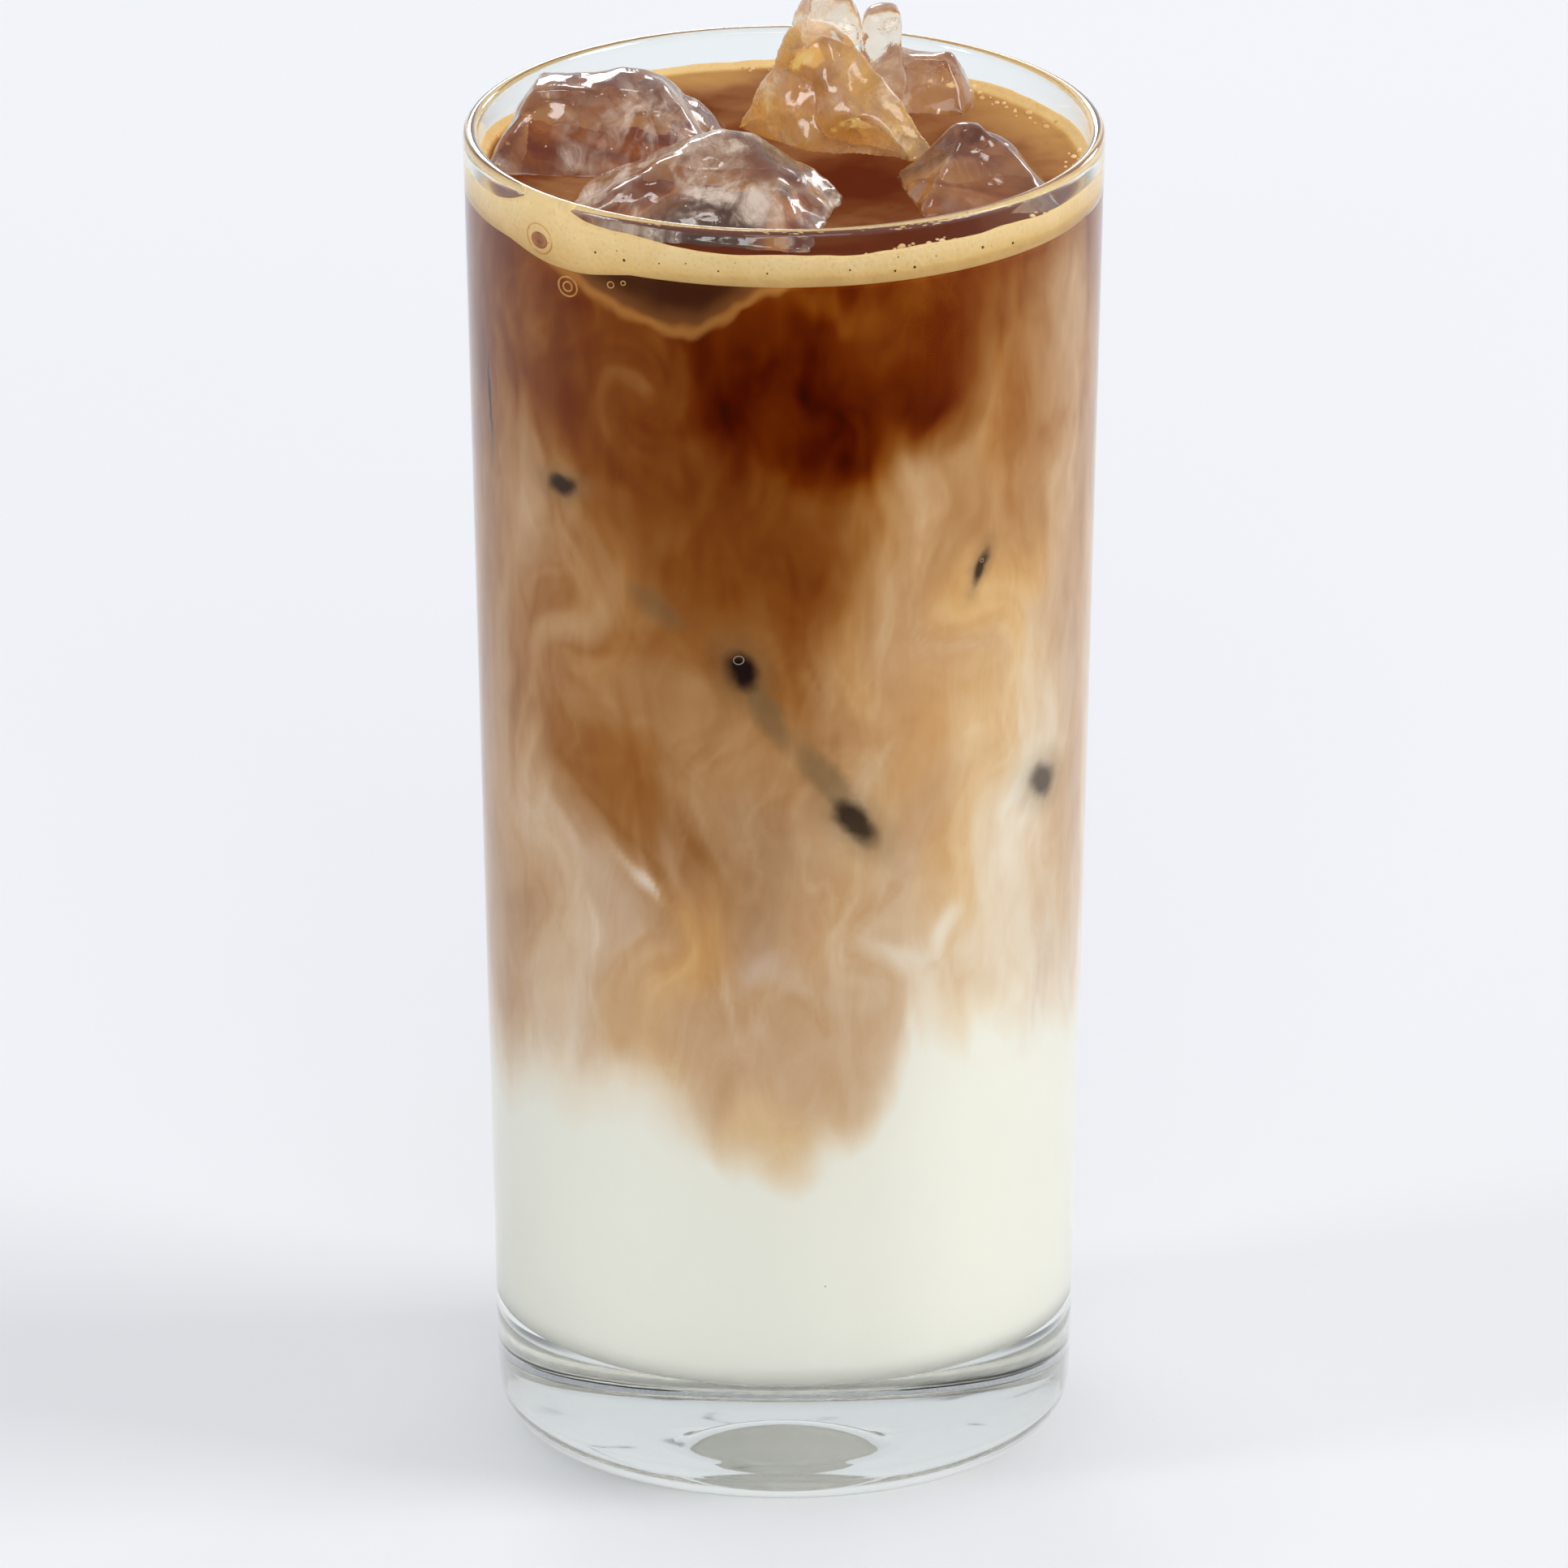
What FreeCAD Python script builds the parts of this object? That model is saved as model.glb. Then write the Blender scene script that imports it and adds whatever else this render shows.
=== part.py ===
import FreeCAD, Part
import os
import Sketcher

# Iced latte in a tall straight tumbler: milk at the bottom, a mixed layer above it, espresso at the top
# under a thin crema, and seven pieces of ice that stand out of the drink.
# Lengths are in millimetres. +Z is up, and the origin is the centre of the foot.
# The glass and the drink are round about Z. "right" is +X and "away" is +Y.

glassSizes = {
    "glass_height": 154.0,
    "rim_diameter": 72.0,  # outside, at the top
    "foot_diameter": 64.6,  # outside, where the wall's line meets the table
    "wall_thickness": 1.7,  # measured level
    "base_thickness": 14.5,  # from the table to the inner floor
    "heel_radius": 5.2,  # between the foot and the wall
    "floor_radius": 3.0,  # between the inner floor and the wall
    "ring_width": 3.0,  # the flat ring that the glass stands on
    "underside_rise": 0.5,  # how far the underside is raised inside that ring
    "dimple_diameter": 15.0,  # the round hollow in the middle of the underside
    "dimple_depth": 2.6,
}

drinkSizes = {
    "drink_drop": 4.4,  # from the rim down to the drink's surface
    "crema_depth": 2.6,
    "crema_slant": 1.2,  # degrees: the crema is deeper on the left than on the right
    "espresso_depth": 7.2,  # under the crema, all round
    "bowl_diameter": 42.0,  # the espresso sinks into the mixed layer in a round bowl
    "bowl_depth": 15.0,
    "bowl_right": 6.0,
    "bowl_away": -15.0,
    "milk_depth": 37.5,  # from the inner floor
    "plume_diameter": 34.0,  # the mixed layer sinks into the milk in a blunt cone
    "plume_depth": 13.5,
    "plume_tip": 5.0,
    "plume_right": -2.0,
    "plume_away": -14.0,
}

iceSizes = {
    "ice_gap": 0.3,  # clearance between the ice and the glass
    "keel_share": 0.6,  # how far a piece tapers towards its underside
    "hollow_diameter": 15.0,  # the arch melted out under the leaning centre piece
    "hollow_right": 7.0,
    "hollow_away": -2.0,
    "hollow_drop": 1.5,  # its middle, below the surface
}

# Each piece of ice is widest at a level "lift" above the drink's surface, where it is length by width. It rises
# from there to a crest and sinks to a keel. The crest's place is measured from the middle of the widest section.
icePieces = {
    "ice_centre": {
        "right": 6.0, "away": 8.0, "turn": -44.0, "lift": 0.0,
        "length": 23.0, "width": 9.5, "rise": 12.0, "sink": 6.0,
        "crest_length": 5.0, "crest_width": 4.0, "crest_right": -3.8, "crest_away": 1.0,
    },
    "ice_left": {
        "right": -19.5, "away": 5.0, "turn": -8.0, "lift": 0.0,
        "length": 25.0, "width": 21.0, "rise": 7.8, "sink": 7.0,
        "crest_length": 14.0, "crest_width": 6.0, "crest_right": -1.5, "crest_away": 1.5,
    },
    "ice_front": {
        "right": -9.5, "away": -17.0, "turn": -12.0, "lift": 0.0,
        "length": 30.0, "width": 20.0, "rise": 7.0, "sink": 10.0,
        "crest_length": 4.0, "crest_width": 2.5, "crest_right": 2.5, "crest_away": 8.5,
    },
    "ice_right": {
        "right": 21.5, "away": -9.5, "turn": 12.0, "lift": 0.0,
        "length": 16.0, "width": 15.0, "rise": 6.8, "sink": 8.0,
        "crest_length": 2.0, "crest_width": 2.0, "crest_right": 0.0, "crest_away": 4.0,
    },
    "ice_back": {
        "right": 14.5, "away": 22.0, "turn": -10.0, "lift": 0.0,
        "length": 13.5, "width": 8.5, "rise": 5.5, "sink": 5.0,
        "crest_length": 7.5, "crest_width": 3.5, "crest_right": 0.5, "crest_away": 0.5,
    },
    "ice_top": {
        "right": 4.8, "away": 11.2, "turn": 10.0, "lift": 12.0,
        "length": 7.2, "width": 6.0, "rise": 5.0, "sink": 3.0,
        "crest_length": 4.4, "crest_width": 3.4, "crest_right": 0.2, "crest_away": 0.0,
    },
    "ice_chip": {
        "right": 10.8, "away": 13.6, "turn": 8.0, "lift": 6.0,
        "length": 5.6, "width": 5.4, "rise": 8.0, "sink": 9.0,
        "crest_length": 3.4, "crest_width": 2.8, "crest_right": 0.3, "crest_away": 0.0,
    },
}

doc = FreeCAD.newDocument("iced_latte")
sheet = doc.addObject("Spreadsheet::Sheet", "Sizes")


def fillSheet():
    """Writes every driving size as a plain number with its own alias."""
    values = {**glassSizes, **drinkSizes, **iceSizes}
    for piece, sizes in icePieces.items():
        values.update({f"{piece}_{name}": value for name, value in sizes.items()})
    for row, (alias, value) in enumerate(values.items(), start=1):
        sheet.set(f"A{row}", alias)
        sheet.set(f"B{row}", str(value))
        sheet.setAlias(f"B{row}", alias)
    doc.recompute()


def cell(alias):
    return f"Sizes.{alias}"


fillSheet()

# Lengths that follow from the driving ones, as expressions on the sheet.
height = cell("glass_height")
rimRadius = f"({cell('rim_diameter')} / 2)"
footRadius = f"({cell('foot_diameter')} / 2)"
flare = f"(({rimRadius} - {footRadius}) / {height})"  # how much the wall leans out for each unit of height
baseTop = cell("base_thickness")
mouthRadius = f"({rimRadius} - {cell('wall_thickness')})"
floorRadius = f"({footRadius} + {flare} * {baseTop} - {cell('wall_thickness')})"
ringOuter = f"({footRadius} - {cell('heel_radius')})"
ringInner = f"({ringOuter} - {cell('ring_width')})"
surface = f"({height} - {cell('drink_drop')})"
cremaBottom = f"({surface} - {cell('crema_depth')})"
espressoBottom = f"({cremaBottom} - {cell('espresso_depth')})"
milkTop = f"({baseTop} + {cell('milk_depth')})"
wide = f"({cell('rim_diameter')} * 2)"  # wider than the glass, for the blocks that split the drink into layers

outsideCorners = [("0", "0"), (footRadius, "0"), (rimRadius, height), ("0", height)]
roomCorners = [("0", baseTop), (floorRadius, baseTop), (mouthRadius, height), ("0", height)]
undersideRise = cell("underside_rise")
recessCorners = [
    ("0", "0"),
    (ringInner, "0"),
    (f"({ringInner} - {undersideRise})", undersideRise),
    ("0", undersideRise),
]


def number(expression):
    """The expression's present value."""
    value = sheet.evalExpression(expression)
    return float(getattr(value, "Value", value))


def bind(thing, **expressions):
    """Ties properties of an object to expressions on the sheet."""
    for name, expression in expressions.items():
        thing.setExpression(name, expression)
    return thing


def place(thing, right, away, up, turn="0", tilt="0", middle=("0", "0", "0")):
    """Ties a Placement: it moves to (right, away, up) and turns about Z, then tilts about Y, round middle."""
    centre = "; ".join(middle)
    thing.setExpression(
        "Placement",
        f"placement(vector({right}; {away}; {up}); rotation({turn}; {tilt}; 0); vector({centre}))",
    )
    return thing


def outline(body, label, corners):
    """A closed sketch of straight lines on the XZ plane, each corner tied to its radius and height."""
    sketch = body.newObject("Sketcher::SketchObject", label)
    plane = next(f for f in body.Origin.OriginFeatures if f.Role == "XZ_Plane")
    sketch.AttachmentSupport = [(plane, "")]
    sketch.MapMode = "FlatFace"
    points = [FreeCAD.Vector(number(x), number(z), 0) for x, z in corners]
    count = len(points)
    for i in range(count):
        sketch.addGeometry(Part.LineSegment(points[i], points[(i + 1) % count]), False)
    for i in range(count):
        sketch.addConstraint(Sketcher.Constraint("Coincident", i, 2, (i + 1) % count, 1))
    for i, pair in enumerate(corners):
        for kind, expression, value in zip(("DistanceX", "DistanceY"), pair, points[i]):
            index = sketch.addConstraint(Sketcher.Constraint(kind, -1, 1, i, 1, value))
            if expression != "0":
                name = f"{kind}{i}"
                sketch.renameConstraint(index, name)
                sketch.setExpression(f"Constraints.{name}", expression)
    doc.recompute()
    return sketch


def turned(body, kind, label, corners):
    """A full revolution (PartDesign Revolution or Groove) of an outline about Z."""
    sketch = outline(body, f"{label}_outline", corners)
    feature = body.newObject(f"PartDesign::{kind}", label)
    feature.Profile = sketch
    feature.ReferenceAxis = (sketch, ["V_Axis"])
    feature.Angle = 360
    body.Tip = feature
    doc.recompute()
    return feature


def roundEdges(body, label, radius, circles):
    """Fillets the circular edges of the body's tip that have these radii and heights."""
    base = body.Tip
    near = 1e-4
    wanted = [(number(r), number(z)) for r, z in circles]
    names = []
    for i, edge in enumerate(base.Shape.Edges, start=1):
        curve = edge.Curve
        if isinstance(curve, Part.Circle):
            for r, z in wanted:
                if abs(curve.Radius - r) < near and abs(curve.Center.z - z) < near:
                    names.append(f"Edge{i}")
    if len(names) != len(wanted):
        raise RuntimeError(f"{label}: found {len(names)} of {len(wanted)} edges")
    fillet = body.newObject("PartDesign::Fillet", label)
    fillet.Base = (base, names)
    bind(fillet, Radius=radius)
    body.Tip = fillet
    doc.recompute()
    return fillet


def combine(kind, label, base, tool):
    """A Part Cut, Common or Fuse of two objects."""
    result = doc.addObject(f"Part::{kind}", label)
    result.Base = base
    result.Tool = tool
    return result


def makeGlass():
    """One thick-based piece: tapered outside, parallel inside, soft rim and heel, dimpled underside."""
    body = doc.addObject("PartDesign::Body", "glass")
    turned(body, "Revolution", "outside", outsideCorners)
    turned(body, "Groove", "inside", roomCorners)
    turned(body, "Groove", "recess", recessCorners)
    roundEdges(body, "rim", f"{cell('wall_thickness')} * 0.48", [(rimRadius, height), (mouthRadius, height)])
    roundEdges(body, "heel", cell("heel_radius"), [(footRadius, "0")])
    roundEdges(body, "floor", cell("floor_radius"), [(floorRadius, baseTop)])
    dimple = body.newObject("PartDesign::SubtractiveSphere", "dimple")
    halfWidth = f"({cell('dimple_diameter')} / 2)"
    depth = cell("dimple_depth")
    ball = f"(({halfWidth} ^ 2 + {depth} ^ 2) / (2 * {depth}))"
    bind(dimple, Radius=ball)
    dimple.setExpression(
        "Placement", f"placement(vector(0; 0; {undersideRise} + {depth} - {ball}); rotation(0; 0; 0))"
    )
    body.Tip = dimple
    doc.recompute()
    return body


def makeRoom():
    """The inside of the glass as a solid, up to the rim: the drink's layers are cut from it."""
    body = doc.addObject("PartDesign::Body", "room")
    turned(body, "Revolution", "room_inside", roomCorners)
    roundEdges(body, "room_floor", cell("floor_radius"), [(floorRadius, baseTop)])
    return body


def makeIceRoom():
    """Where ice may be: the inside of the glass less its clearance, and the same taper on above the rim."""
    above = f"({height} / 4)"
    cone = doc.addObject("Part::Cone", "ice_room")
    gap = cell("ice_gap")
    return place(
        bind(
            cone,
            Radius1=f"{floorRadius} - {gap}",
            Radius2=f"{mouthRadius} - {gap} + {flare} * {above}",
            Height=f"{height} + {above} - {baseTop}",
        ),
        "0",
        "0",
        baseTop,
    )


def halfPiece(piece, end, level, sizeAlong, sizeAcross, offsetAlong, offsetAcross, rise):
    """One half of a piece of ice: from its widest section to its crest or, with rise below 0, to its keel."""
    def own(name):
        return cell(f"{piece}_{name}")

    wedge = doc.addObject("Part::Wedge", f"{piece}_{end}")
    long, broad = own("length"), own("width")
    bind(
        wedge,
        Xmin=f"-{long} / 2", Xmax=f"{long} / 2", Zmin=f"-{broad} / 2", Zmax=f"{broad} / 2",
        X2min=f"{offsetAlong} - {sizeAlong} / 2", X2max=f"{offsetAlong} + {sizeAlong} / 2",
        Z2min=f"{offsetAcross} - {sizeAcross} / 2", Z2max=f"{offsetAcross} + {sizeAcross} / 2",
        Ymin="0", Ymax=rise,
    )
    # A wedge tapers along its own Y, which stands up here.
    stand = "-90" if end == "keel" else "90"
    wedge.setExpression(
        "Placement",
        f"placement(vector({own('right')}; {own('away')}; {level}); rotation({own('turn')}; 0; {stand}))",
    )
    return wedge


def makePiece(piece, iceRoom, taken):
    """A piece of ice inside the glass, cut where it rests against the pieces made before it."""
    def own(name):
        return cell(f"{piece}_{name}")

    level = f"({surface} + {own('lift')})"
    share = cell("keel_share")
    crest = halfPiece(
        piece, "crest", level, own("crest_length"), own("crest_width"),
        own("crest_right"), f"-{own('crest_away')}", own("rise"),
    )
    keel = halfPiece(
        piece, "keel", level, f"{own('length')} * {share}", f"{own('width')} * {share}",
        "0", "0", own("sink"),
    )
    chunk = combine("Fuse", f"{piece}_whole", crest, keel)
    chunk = combine("Common", f"{piece}_inside", chunk, iceRoom)
    if piece == "ice_centre":
        hollow = doc.addObject("Part::Sphere", "hollow")
        bind(hollow, Radius=f"{cell('hollow_diameter')} / 2")
        place(hollow, cell("hollow_right"), cell("hollow_away"), f"{surface} - {cell('hollow_drop')}")
        chunk = combine("Cut", f"{piece}_arched", chunk, hollow)
    if taken is not None:
        chunk = combine("Cut", f"{piece}_seated", chunk, taken)
    chunk.Label = piece
    doc.recompute()
    return chunk


def makeIce():
    """Every piece of ice, and all of them fused, for cutting the drink round them."""
    iceRoom = makeIceRoom()
    pieces, taken = [], None
    for name in icePieces:
        piece = makePiece(name, iceRoom, taken)
        pieces.append(piece)
        taken = piece if taken is None else combine("Fuse", f"taken_by_{name}", taken, piece)
    doc.recompute()
    return pieces, taken


def block(label, bottom, top, tilt="0"):
    """A block wider than the glass between two levels, tilted about Y round the middle of its bottom."""
    box = doc.addObject("Part::Box", label)
    bind(box, Length=wide, Width=wide, Height=f"{top} - {bottom}")
    half = f"{wide} / 2"
    return place(box, f"-{half}", f"-{half}", bottom, tilt=tilt, middle=(half, half, "0"))


def makeDrink(room, ice):
    """The four layers, each running right through the glass and cut round the ice."""
    filled = combine("Common", "drink_level", room, block("below_surface", "0", surface))
    free = combine("Cut", "drink_whole", filled, ice)

    crema = combine("Common", "crema", free, block("above_coffee", cremaBottom, height, cell("crema_slant")))
    coffee = combine("Cut", "under_crema", free, crema)

    bowl = doc.addObject("Part::Ellipsoid", "bowl")
    bowlHalf = f"{cell('bowl_diameter')} / 2"
    bind(bowl, Radius1=cell("bowl_depth"), Radius2=bowlHalf, Radius3=bowlHalf)
    place(bowl, cell("bowl_right"), cell("bowl_away"), espressoBottom)
    dark = combine("Fuse", "dark_zone", block("dark_block", espressoBottom, height), bowl)
    espresso = combine("Common", "espresso", coffee, dark)
    pale = combine("Cut", "under_espresso", coffee, espresso)

    plume = doc.addObject("Part::Cone", "plume")
    bind(
        plume,
        Radius1=f"{cell('plume_tip')} / 2",
        Radius2=f"{cell('plume_diameter')} / 2",
        Height=cell("plume_depth"),
    )
    place(plume, cell("plume_right"), cell("plume_away"), f"{milkTop} - {cell('plume_depth')}")
    mixedZone = combine("Fuse", "mixed_zone", block("mixed_block", milkTop, height), plume)
    latte = combine("Common", "latte", pale, mixedZone)
    milk = combine("Cut", "milk", pale, mixedZone)
    doc.recompute()
    return [milk, latte, espresso, crema]


def check(parts):
    """Refuses a document with a failed object, or a part that isn't one valid solid."""
    failed = [o.Name for o in doc.Objects if {"Invalid", "Error"} & set(o.State)]
    if failed:
        raise RuntimeError(f"these objects failed: {failed}")
    for part in parts:
        shape = part.Shape
        if shape.isNull() or not shape.isValid() or len(shape.Solids) != 1:
            raise RuntimeError(f"{part.Label} isn't one valid solid: {len(shape.Solids)} solids")
        print(f"{part.Label}: {shape.Volume / 1000:.2f} cm3, {len(shape.Faces)} faces")


glass = makeGlass()
room = makeRoom()
icePiecesMade, allIce = makeIce()
parts = [glass, *makeDrink(room, allIce), *icePiecesMade]
check(parts)
os.makedirs("parts", exist_ok=True)
for part in parts:
    part.Shape.exportStep(f"parts/{part.Label}.step")
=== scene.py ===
import math

import bmesh
import bpy
import numpy as np
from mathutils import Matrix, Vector
from mathutils.bvhtree import BVHTree


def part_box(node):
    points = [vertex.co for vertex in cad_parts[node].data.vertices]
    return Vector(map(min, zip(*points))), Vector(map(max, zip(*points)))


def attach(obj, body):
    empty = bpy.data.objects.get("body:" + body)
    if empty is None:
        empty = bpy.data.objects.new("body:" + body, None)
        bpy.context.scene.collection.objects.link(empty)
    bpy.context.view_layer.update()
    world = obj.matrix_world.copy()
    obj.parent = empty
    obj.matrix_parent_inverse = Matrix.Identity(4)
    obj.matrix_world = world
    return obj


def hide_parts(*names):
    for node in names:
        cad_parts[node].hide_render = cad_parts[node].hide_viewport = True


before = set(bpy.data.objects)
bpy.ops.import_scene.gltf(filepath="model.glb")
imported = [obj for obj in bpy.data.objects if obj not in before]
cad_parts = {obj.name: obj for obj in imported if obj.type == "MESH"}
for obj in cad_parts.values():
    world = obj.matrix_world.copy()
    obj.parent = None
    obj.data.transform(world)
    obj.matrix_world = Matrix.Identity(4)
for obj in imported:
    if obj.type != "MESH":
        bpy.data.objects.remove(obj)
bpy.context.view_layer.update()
mm = 0.001

# What the frame says, in millimetres. The glass and the drink are round about Z.
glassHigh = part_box("glass")[1] / mm
milkLow, milkHigh = [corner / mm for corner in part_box("milk")]
cremaLow, cremaHigh = [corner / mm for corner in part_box("crema")]
rimHeight = glassHigh.z
rimRadius = glassHigh.x
floorHeight = milkLow.z
milkHeight = milkHigh.z
surfaceHeight = cremaHigh.z
surfaceRadius = (cremaHigh.x - cremaLow.x) / 2
iceNames = sorted(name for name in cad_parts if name.startswith("ice_"))


def srgb(red, green, blue):
    channels = [c / 255 for c in (red, green, blue)]
    return [c / 12.92 if c <= 0.04045 else ((c + 0.055) / 1.055) ** 2.4 for c in channels] + [1.0]


def put(tree, kind, inputs=None, **settings):
    node = tree.nodes.new(kind)
    for name, value in settings.items():
        setattr(node, name, value)
    for name, value in (inputs or {}).items():
        socket = node.inputs[name]
        if isinstance(value, bpy.types.NodeSocket):
            tree.links.new(value, socket)
        else:
            socket.default_value = value
    return node


def math2(tree, operation, a, b=0.0, clamp=False):
    return put(tree, "ShaderNodeMath", {0: a, 1: b}, operation=operation, use_clamp=clamp).outputs[0]


def mixColour(tree, factor, a, b, blend="MIX"):
    node = put(tree, "ShaderNodeMix", {0: factor, 6: a, 7: b}, data_type="RGBA", blend_type=blend)
    return node.outputs[2]


def mapRange(tree, value, low, high, toLow=0.0, toHigh=1.0, smooth=False):
    limits = {"Value": value, "From Min": low, "From Max": high, "To Min": toLow, "To Max": toHigh}
    kind = "SMOOTHSTEP" if smooth else "LINEAR"
    return put(tree, "ShaderNodeMapRange", limits, interpolation_type=kind).outputs[0]


def ramp(tree, factor, stops):
    node = put(tree, "ShaderNodeValToRGB", {"Fac": factor})
    elements = node.color_ramp.elements
    elements[0].position, elements[0].color = stops[0][0], srgb(*stops[0][1])
    elements[1].position, elements[1].color = stops[-1][0], srgb(*stops[-1][1])
    for position, colour in stops[1:-1]:
        elements.new(position).color = srgb(*colour)
    return node.outputs["Color"]


def objectPlace(tree):
    return put(tree, "ShaderNodeTexCoord").outputs["Object"]


def noiseTexture(tree, place, scale, detail, roughness=0.5, distortion=0.0):
    look = {"Vector": place, "Scale": scale, "Detail": detail}
    look.update({"Roughness": roughness, "Distortion": distortion})
    return put(tree, "ShaderNodeTexNoise", look).outputs


def bumped(tree, height, strength, distance):
    relief = {"Height": height, "Strength": strength, "Distance": distance}
    return put(tree, "ShaderNodeBump", relief).outputs[0]


def principled(tree, values):
    return put(tree, "ShaderNodeBsdfPrincipled", values).outputs[0]


def matt(tree, colour, roughness, level):
    return principled(tree, {"Base Color": colour, "Roughness": roughness, "Specular IOR Level": level})


def attribute(tree, name):
    return put(tree, "ShaderNodeAttribute", attribute_name=name).outputs["Fac"]


def newMaterial(name):
    material = bpy.data.materials.new(name)
    material.use_nodes = True
    material.node_tree.nodes.clear()
    return material, material.node_tree


def finishMaterial(tree, shader):
    put(tree, "ShaderNodeOutputMaterial", {"Surface": shader})


def clearShadow(tree, shader, tint):  # lets light through to what stands behind and below
    lightPath = put(tree, "ShaderNodeLightPath")
    through = put(tree, "ShaderNodeBsdfTransparent", {"Color": tint})
    mix = put(tree, "ShaderNodeMixShader", {0: lightPath.outputs["Is Shadow Ray"], 1: shader})
    tree.links.new(through.outputs[0], mix.inputs[2])
    return mix.outputs[0]


def groupSockets(group, inputs, output):
    for name, kind in inputs:
        group.interface.new_socket(name, in_out="INPUT", socket_type="NodeSocket" + kind)
    group.interface.new_socket(output[0], in_out="OUTPUT", socket_type="NodeSocket" + output[1])


def linked(name, data):
    thing = bpy.data.objects.new(name, data)
    bpy.context.scene.collection.objects.link(thing)
    return thing


def meshObject(name, points, faces, material, smooth=True):
    mesh = bpy.data.meshes.new(name)
    mesh.from_pydata([tuple(p) for p in points], [], faces)
    mesh.materials.append(material)
    if smooth:
        mesh.polygons.foreach_set("use_smooth", [True] * len(mesh.polygons))
    return linked(name, mesh)


def meshFrom(name, bm):
    mesh = bpy.data.meshes.new(name)
    bm.to_mesh(mesh)
    bm.free()
    return mesh


def bakeModifiers(piece):  # the piece keeps what its modifiers make, as a plain mesh
    graph = bpy.context.evaluated_depsgraph_get()
    made = bpy.data.meshes.new_from_object(piece.evaluated_get(graph), depsgraph=graph)
    piece.modifiers.clear()
    piece.data = made
    made.name = piece.name


def saveAttribute(mesh, name, values):
    mesh.attributes.new(name, "FLOAT", "POINT").data.foreach_set("value", np.asarray(values, np.float32))


# A surface turned about Z, with its rows from one end of the outline to the other. The two points
# that follow the rows are the poles that close its ends.
def turnedFaces(rows, columns):
    faces = []
    for row in range(rows - 1):
        for column in range(columns):
            after = (column + 1) % columns
            a, b = row * columns + column, row * columns + after
            faces.append((a, b, b + columns, a + columns))
    top, firstPole = (rows - 1) * columns, rows * columns
    for column in range(columns):
        after = (column + 1) % columns
        faces.append((firstPole, after, column))
        faces.append((firstPole + 1, top + column, top + after))
    return faces


def ease(low, high, value):
    t = np.clip((value - low) / (high - low), 0, 1)
    return t * t * (3 - 2 * t)


def apart(turn, centre):
    return (turn - centre + 180) % 360 - 180


stageSettings = {
    "cameraPlace": (0.0, -3.0275, 1.1906), "aimHeight": 0.0756, "lens": 656.4, "sensorWidth": 36.0,
    "floorColour": (237, 238, 241), "floorRadius": 1.9, "floorSides": 96,
    "worldStrength": 0.90, "lightAim": 0.1,
    "cardAway": 0.24, "cardHalfWidth": 0.10, "cardHeight": 0.08, "cardLift": 0.001,
    "cardColour": (84, 86, 92), "cardCover": 0.8,
}

# Place, width, height, power and colour of each light.
softboxes = {
    "keyLight": ((3.2, -0.5, 2.6), 1.7, 1.7, 58.0, (1.0, 0.99, 0.97)),
    "frontLight": ((0.3, -3.4, 1.7), 2.4, 1.6, 28.0, (1.0, 1.0, 1.0)),
    "backLight": ((-0.25, 1.9, 0.85), 0.5, 0.36, 4.8, (1.0, 1.0, 1.0)),
    "backLightRight": ((1.0, 1.5, 0.75), 0.3, 0.4, 2.4, (1.0, 1.0, 1.0)),
    "topLight": ((-0.2, 0.3, 1.7), 0.26, 0.2, 1.4, (1.0, 1.0, 1.0)),
    "leftLight": ((-1.4, -0.5, 0.8), 0.3, 0.5, 4.5, (0.96, 0.98, 1.0)),
}


def aimed(thing, place, target):
    thing.location = place
    thing.rotation_mode = "QUATERNION"
    thing.rotation_quaternion = (Vector(target) - Vector(place)).to_track_quat("-Z", "Y")


def addCamera():
    s = stageSettings
    camera = linked("camera", bpy.data.cameras.new("camera"))
    camera.data.lens, camera.data.sensor_width = s["lens"], s["sensorWidth"]
    camera.data.clip_start, camera.data.clip_end = 0.1, 20.0
    aimed(camera, s["cameraPlace"], (0, 0, s["aimHeight"]))
    bpy.context.scene.camera = camera


def addSoftboxes():
    for name, (place, width, height, power, colour) in softboxes.items():
        lamp = bpy.data.lights.new(name, "AREA")
        lamp.shape, lamp.size, lamp.size_y = "RECTANGLE", width, height
        lamp.energy, lamp.color = power, colour
        light = linked(name, lamp)
        light.visible_camera = False
        if name.startswith("back"):  # its outline would show through the thick base
            light.visible_transmission = False
        aimed(light, place, (0, 0, stageSettings["lightAim"]))


def studioWorld():
    world = bpy.data.worlds.new("studio")
    bpy.context.scene.world = world
    world.use_nodes = True
    tree = world.node_tree
    tree.nodes.clear()
    direction = put(tree, "ShaderNodeTexCoord").outputs["Generated"]
    split = put(tree, "ShaderNodeSeparateXYZ", {0: direction}).outputs
    # greyer overhead than at the horizon, and a little dimmer on the camera's side
    up = mapRange(tree, split["Z"], 0.0, 0.9)
    sky = ramp(tree, up, [(0.0, (252, 253, 255)), (0.35, (232, 234, 238)), (1.0, (200, 202, 207))])
    near = mapRange(tree, split["Y"], -0.95, 0.2, 0.9, 1.0, smooth=True)
    strength = math2(tree, "MULTIPLY", near, stageSettings["worldStrength"])
    shade = put(tree, "ShaderNodeBackground", {"Color": sky, "Strength": strength})
    put(tree, "ShaderNodeOutputWorld", {"Surface": shade.outputs[0]})


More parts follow.
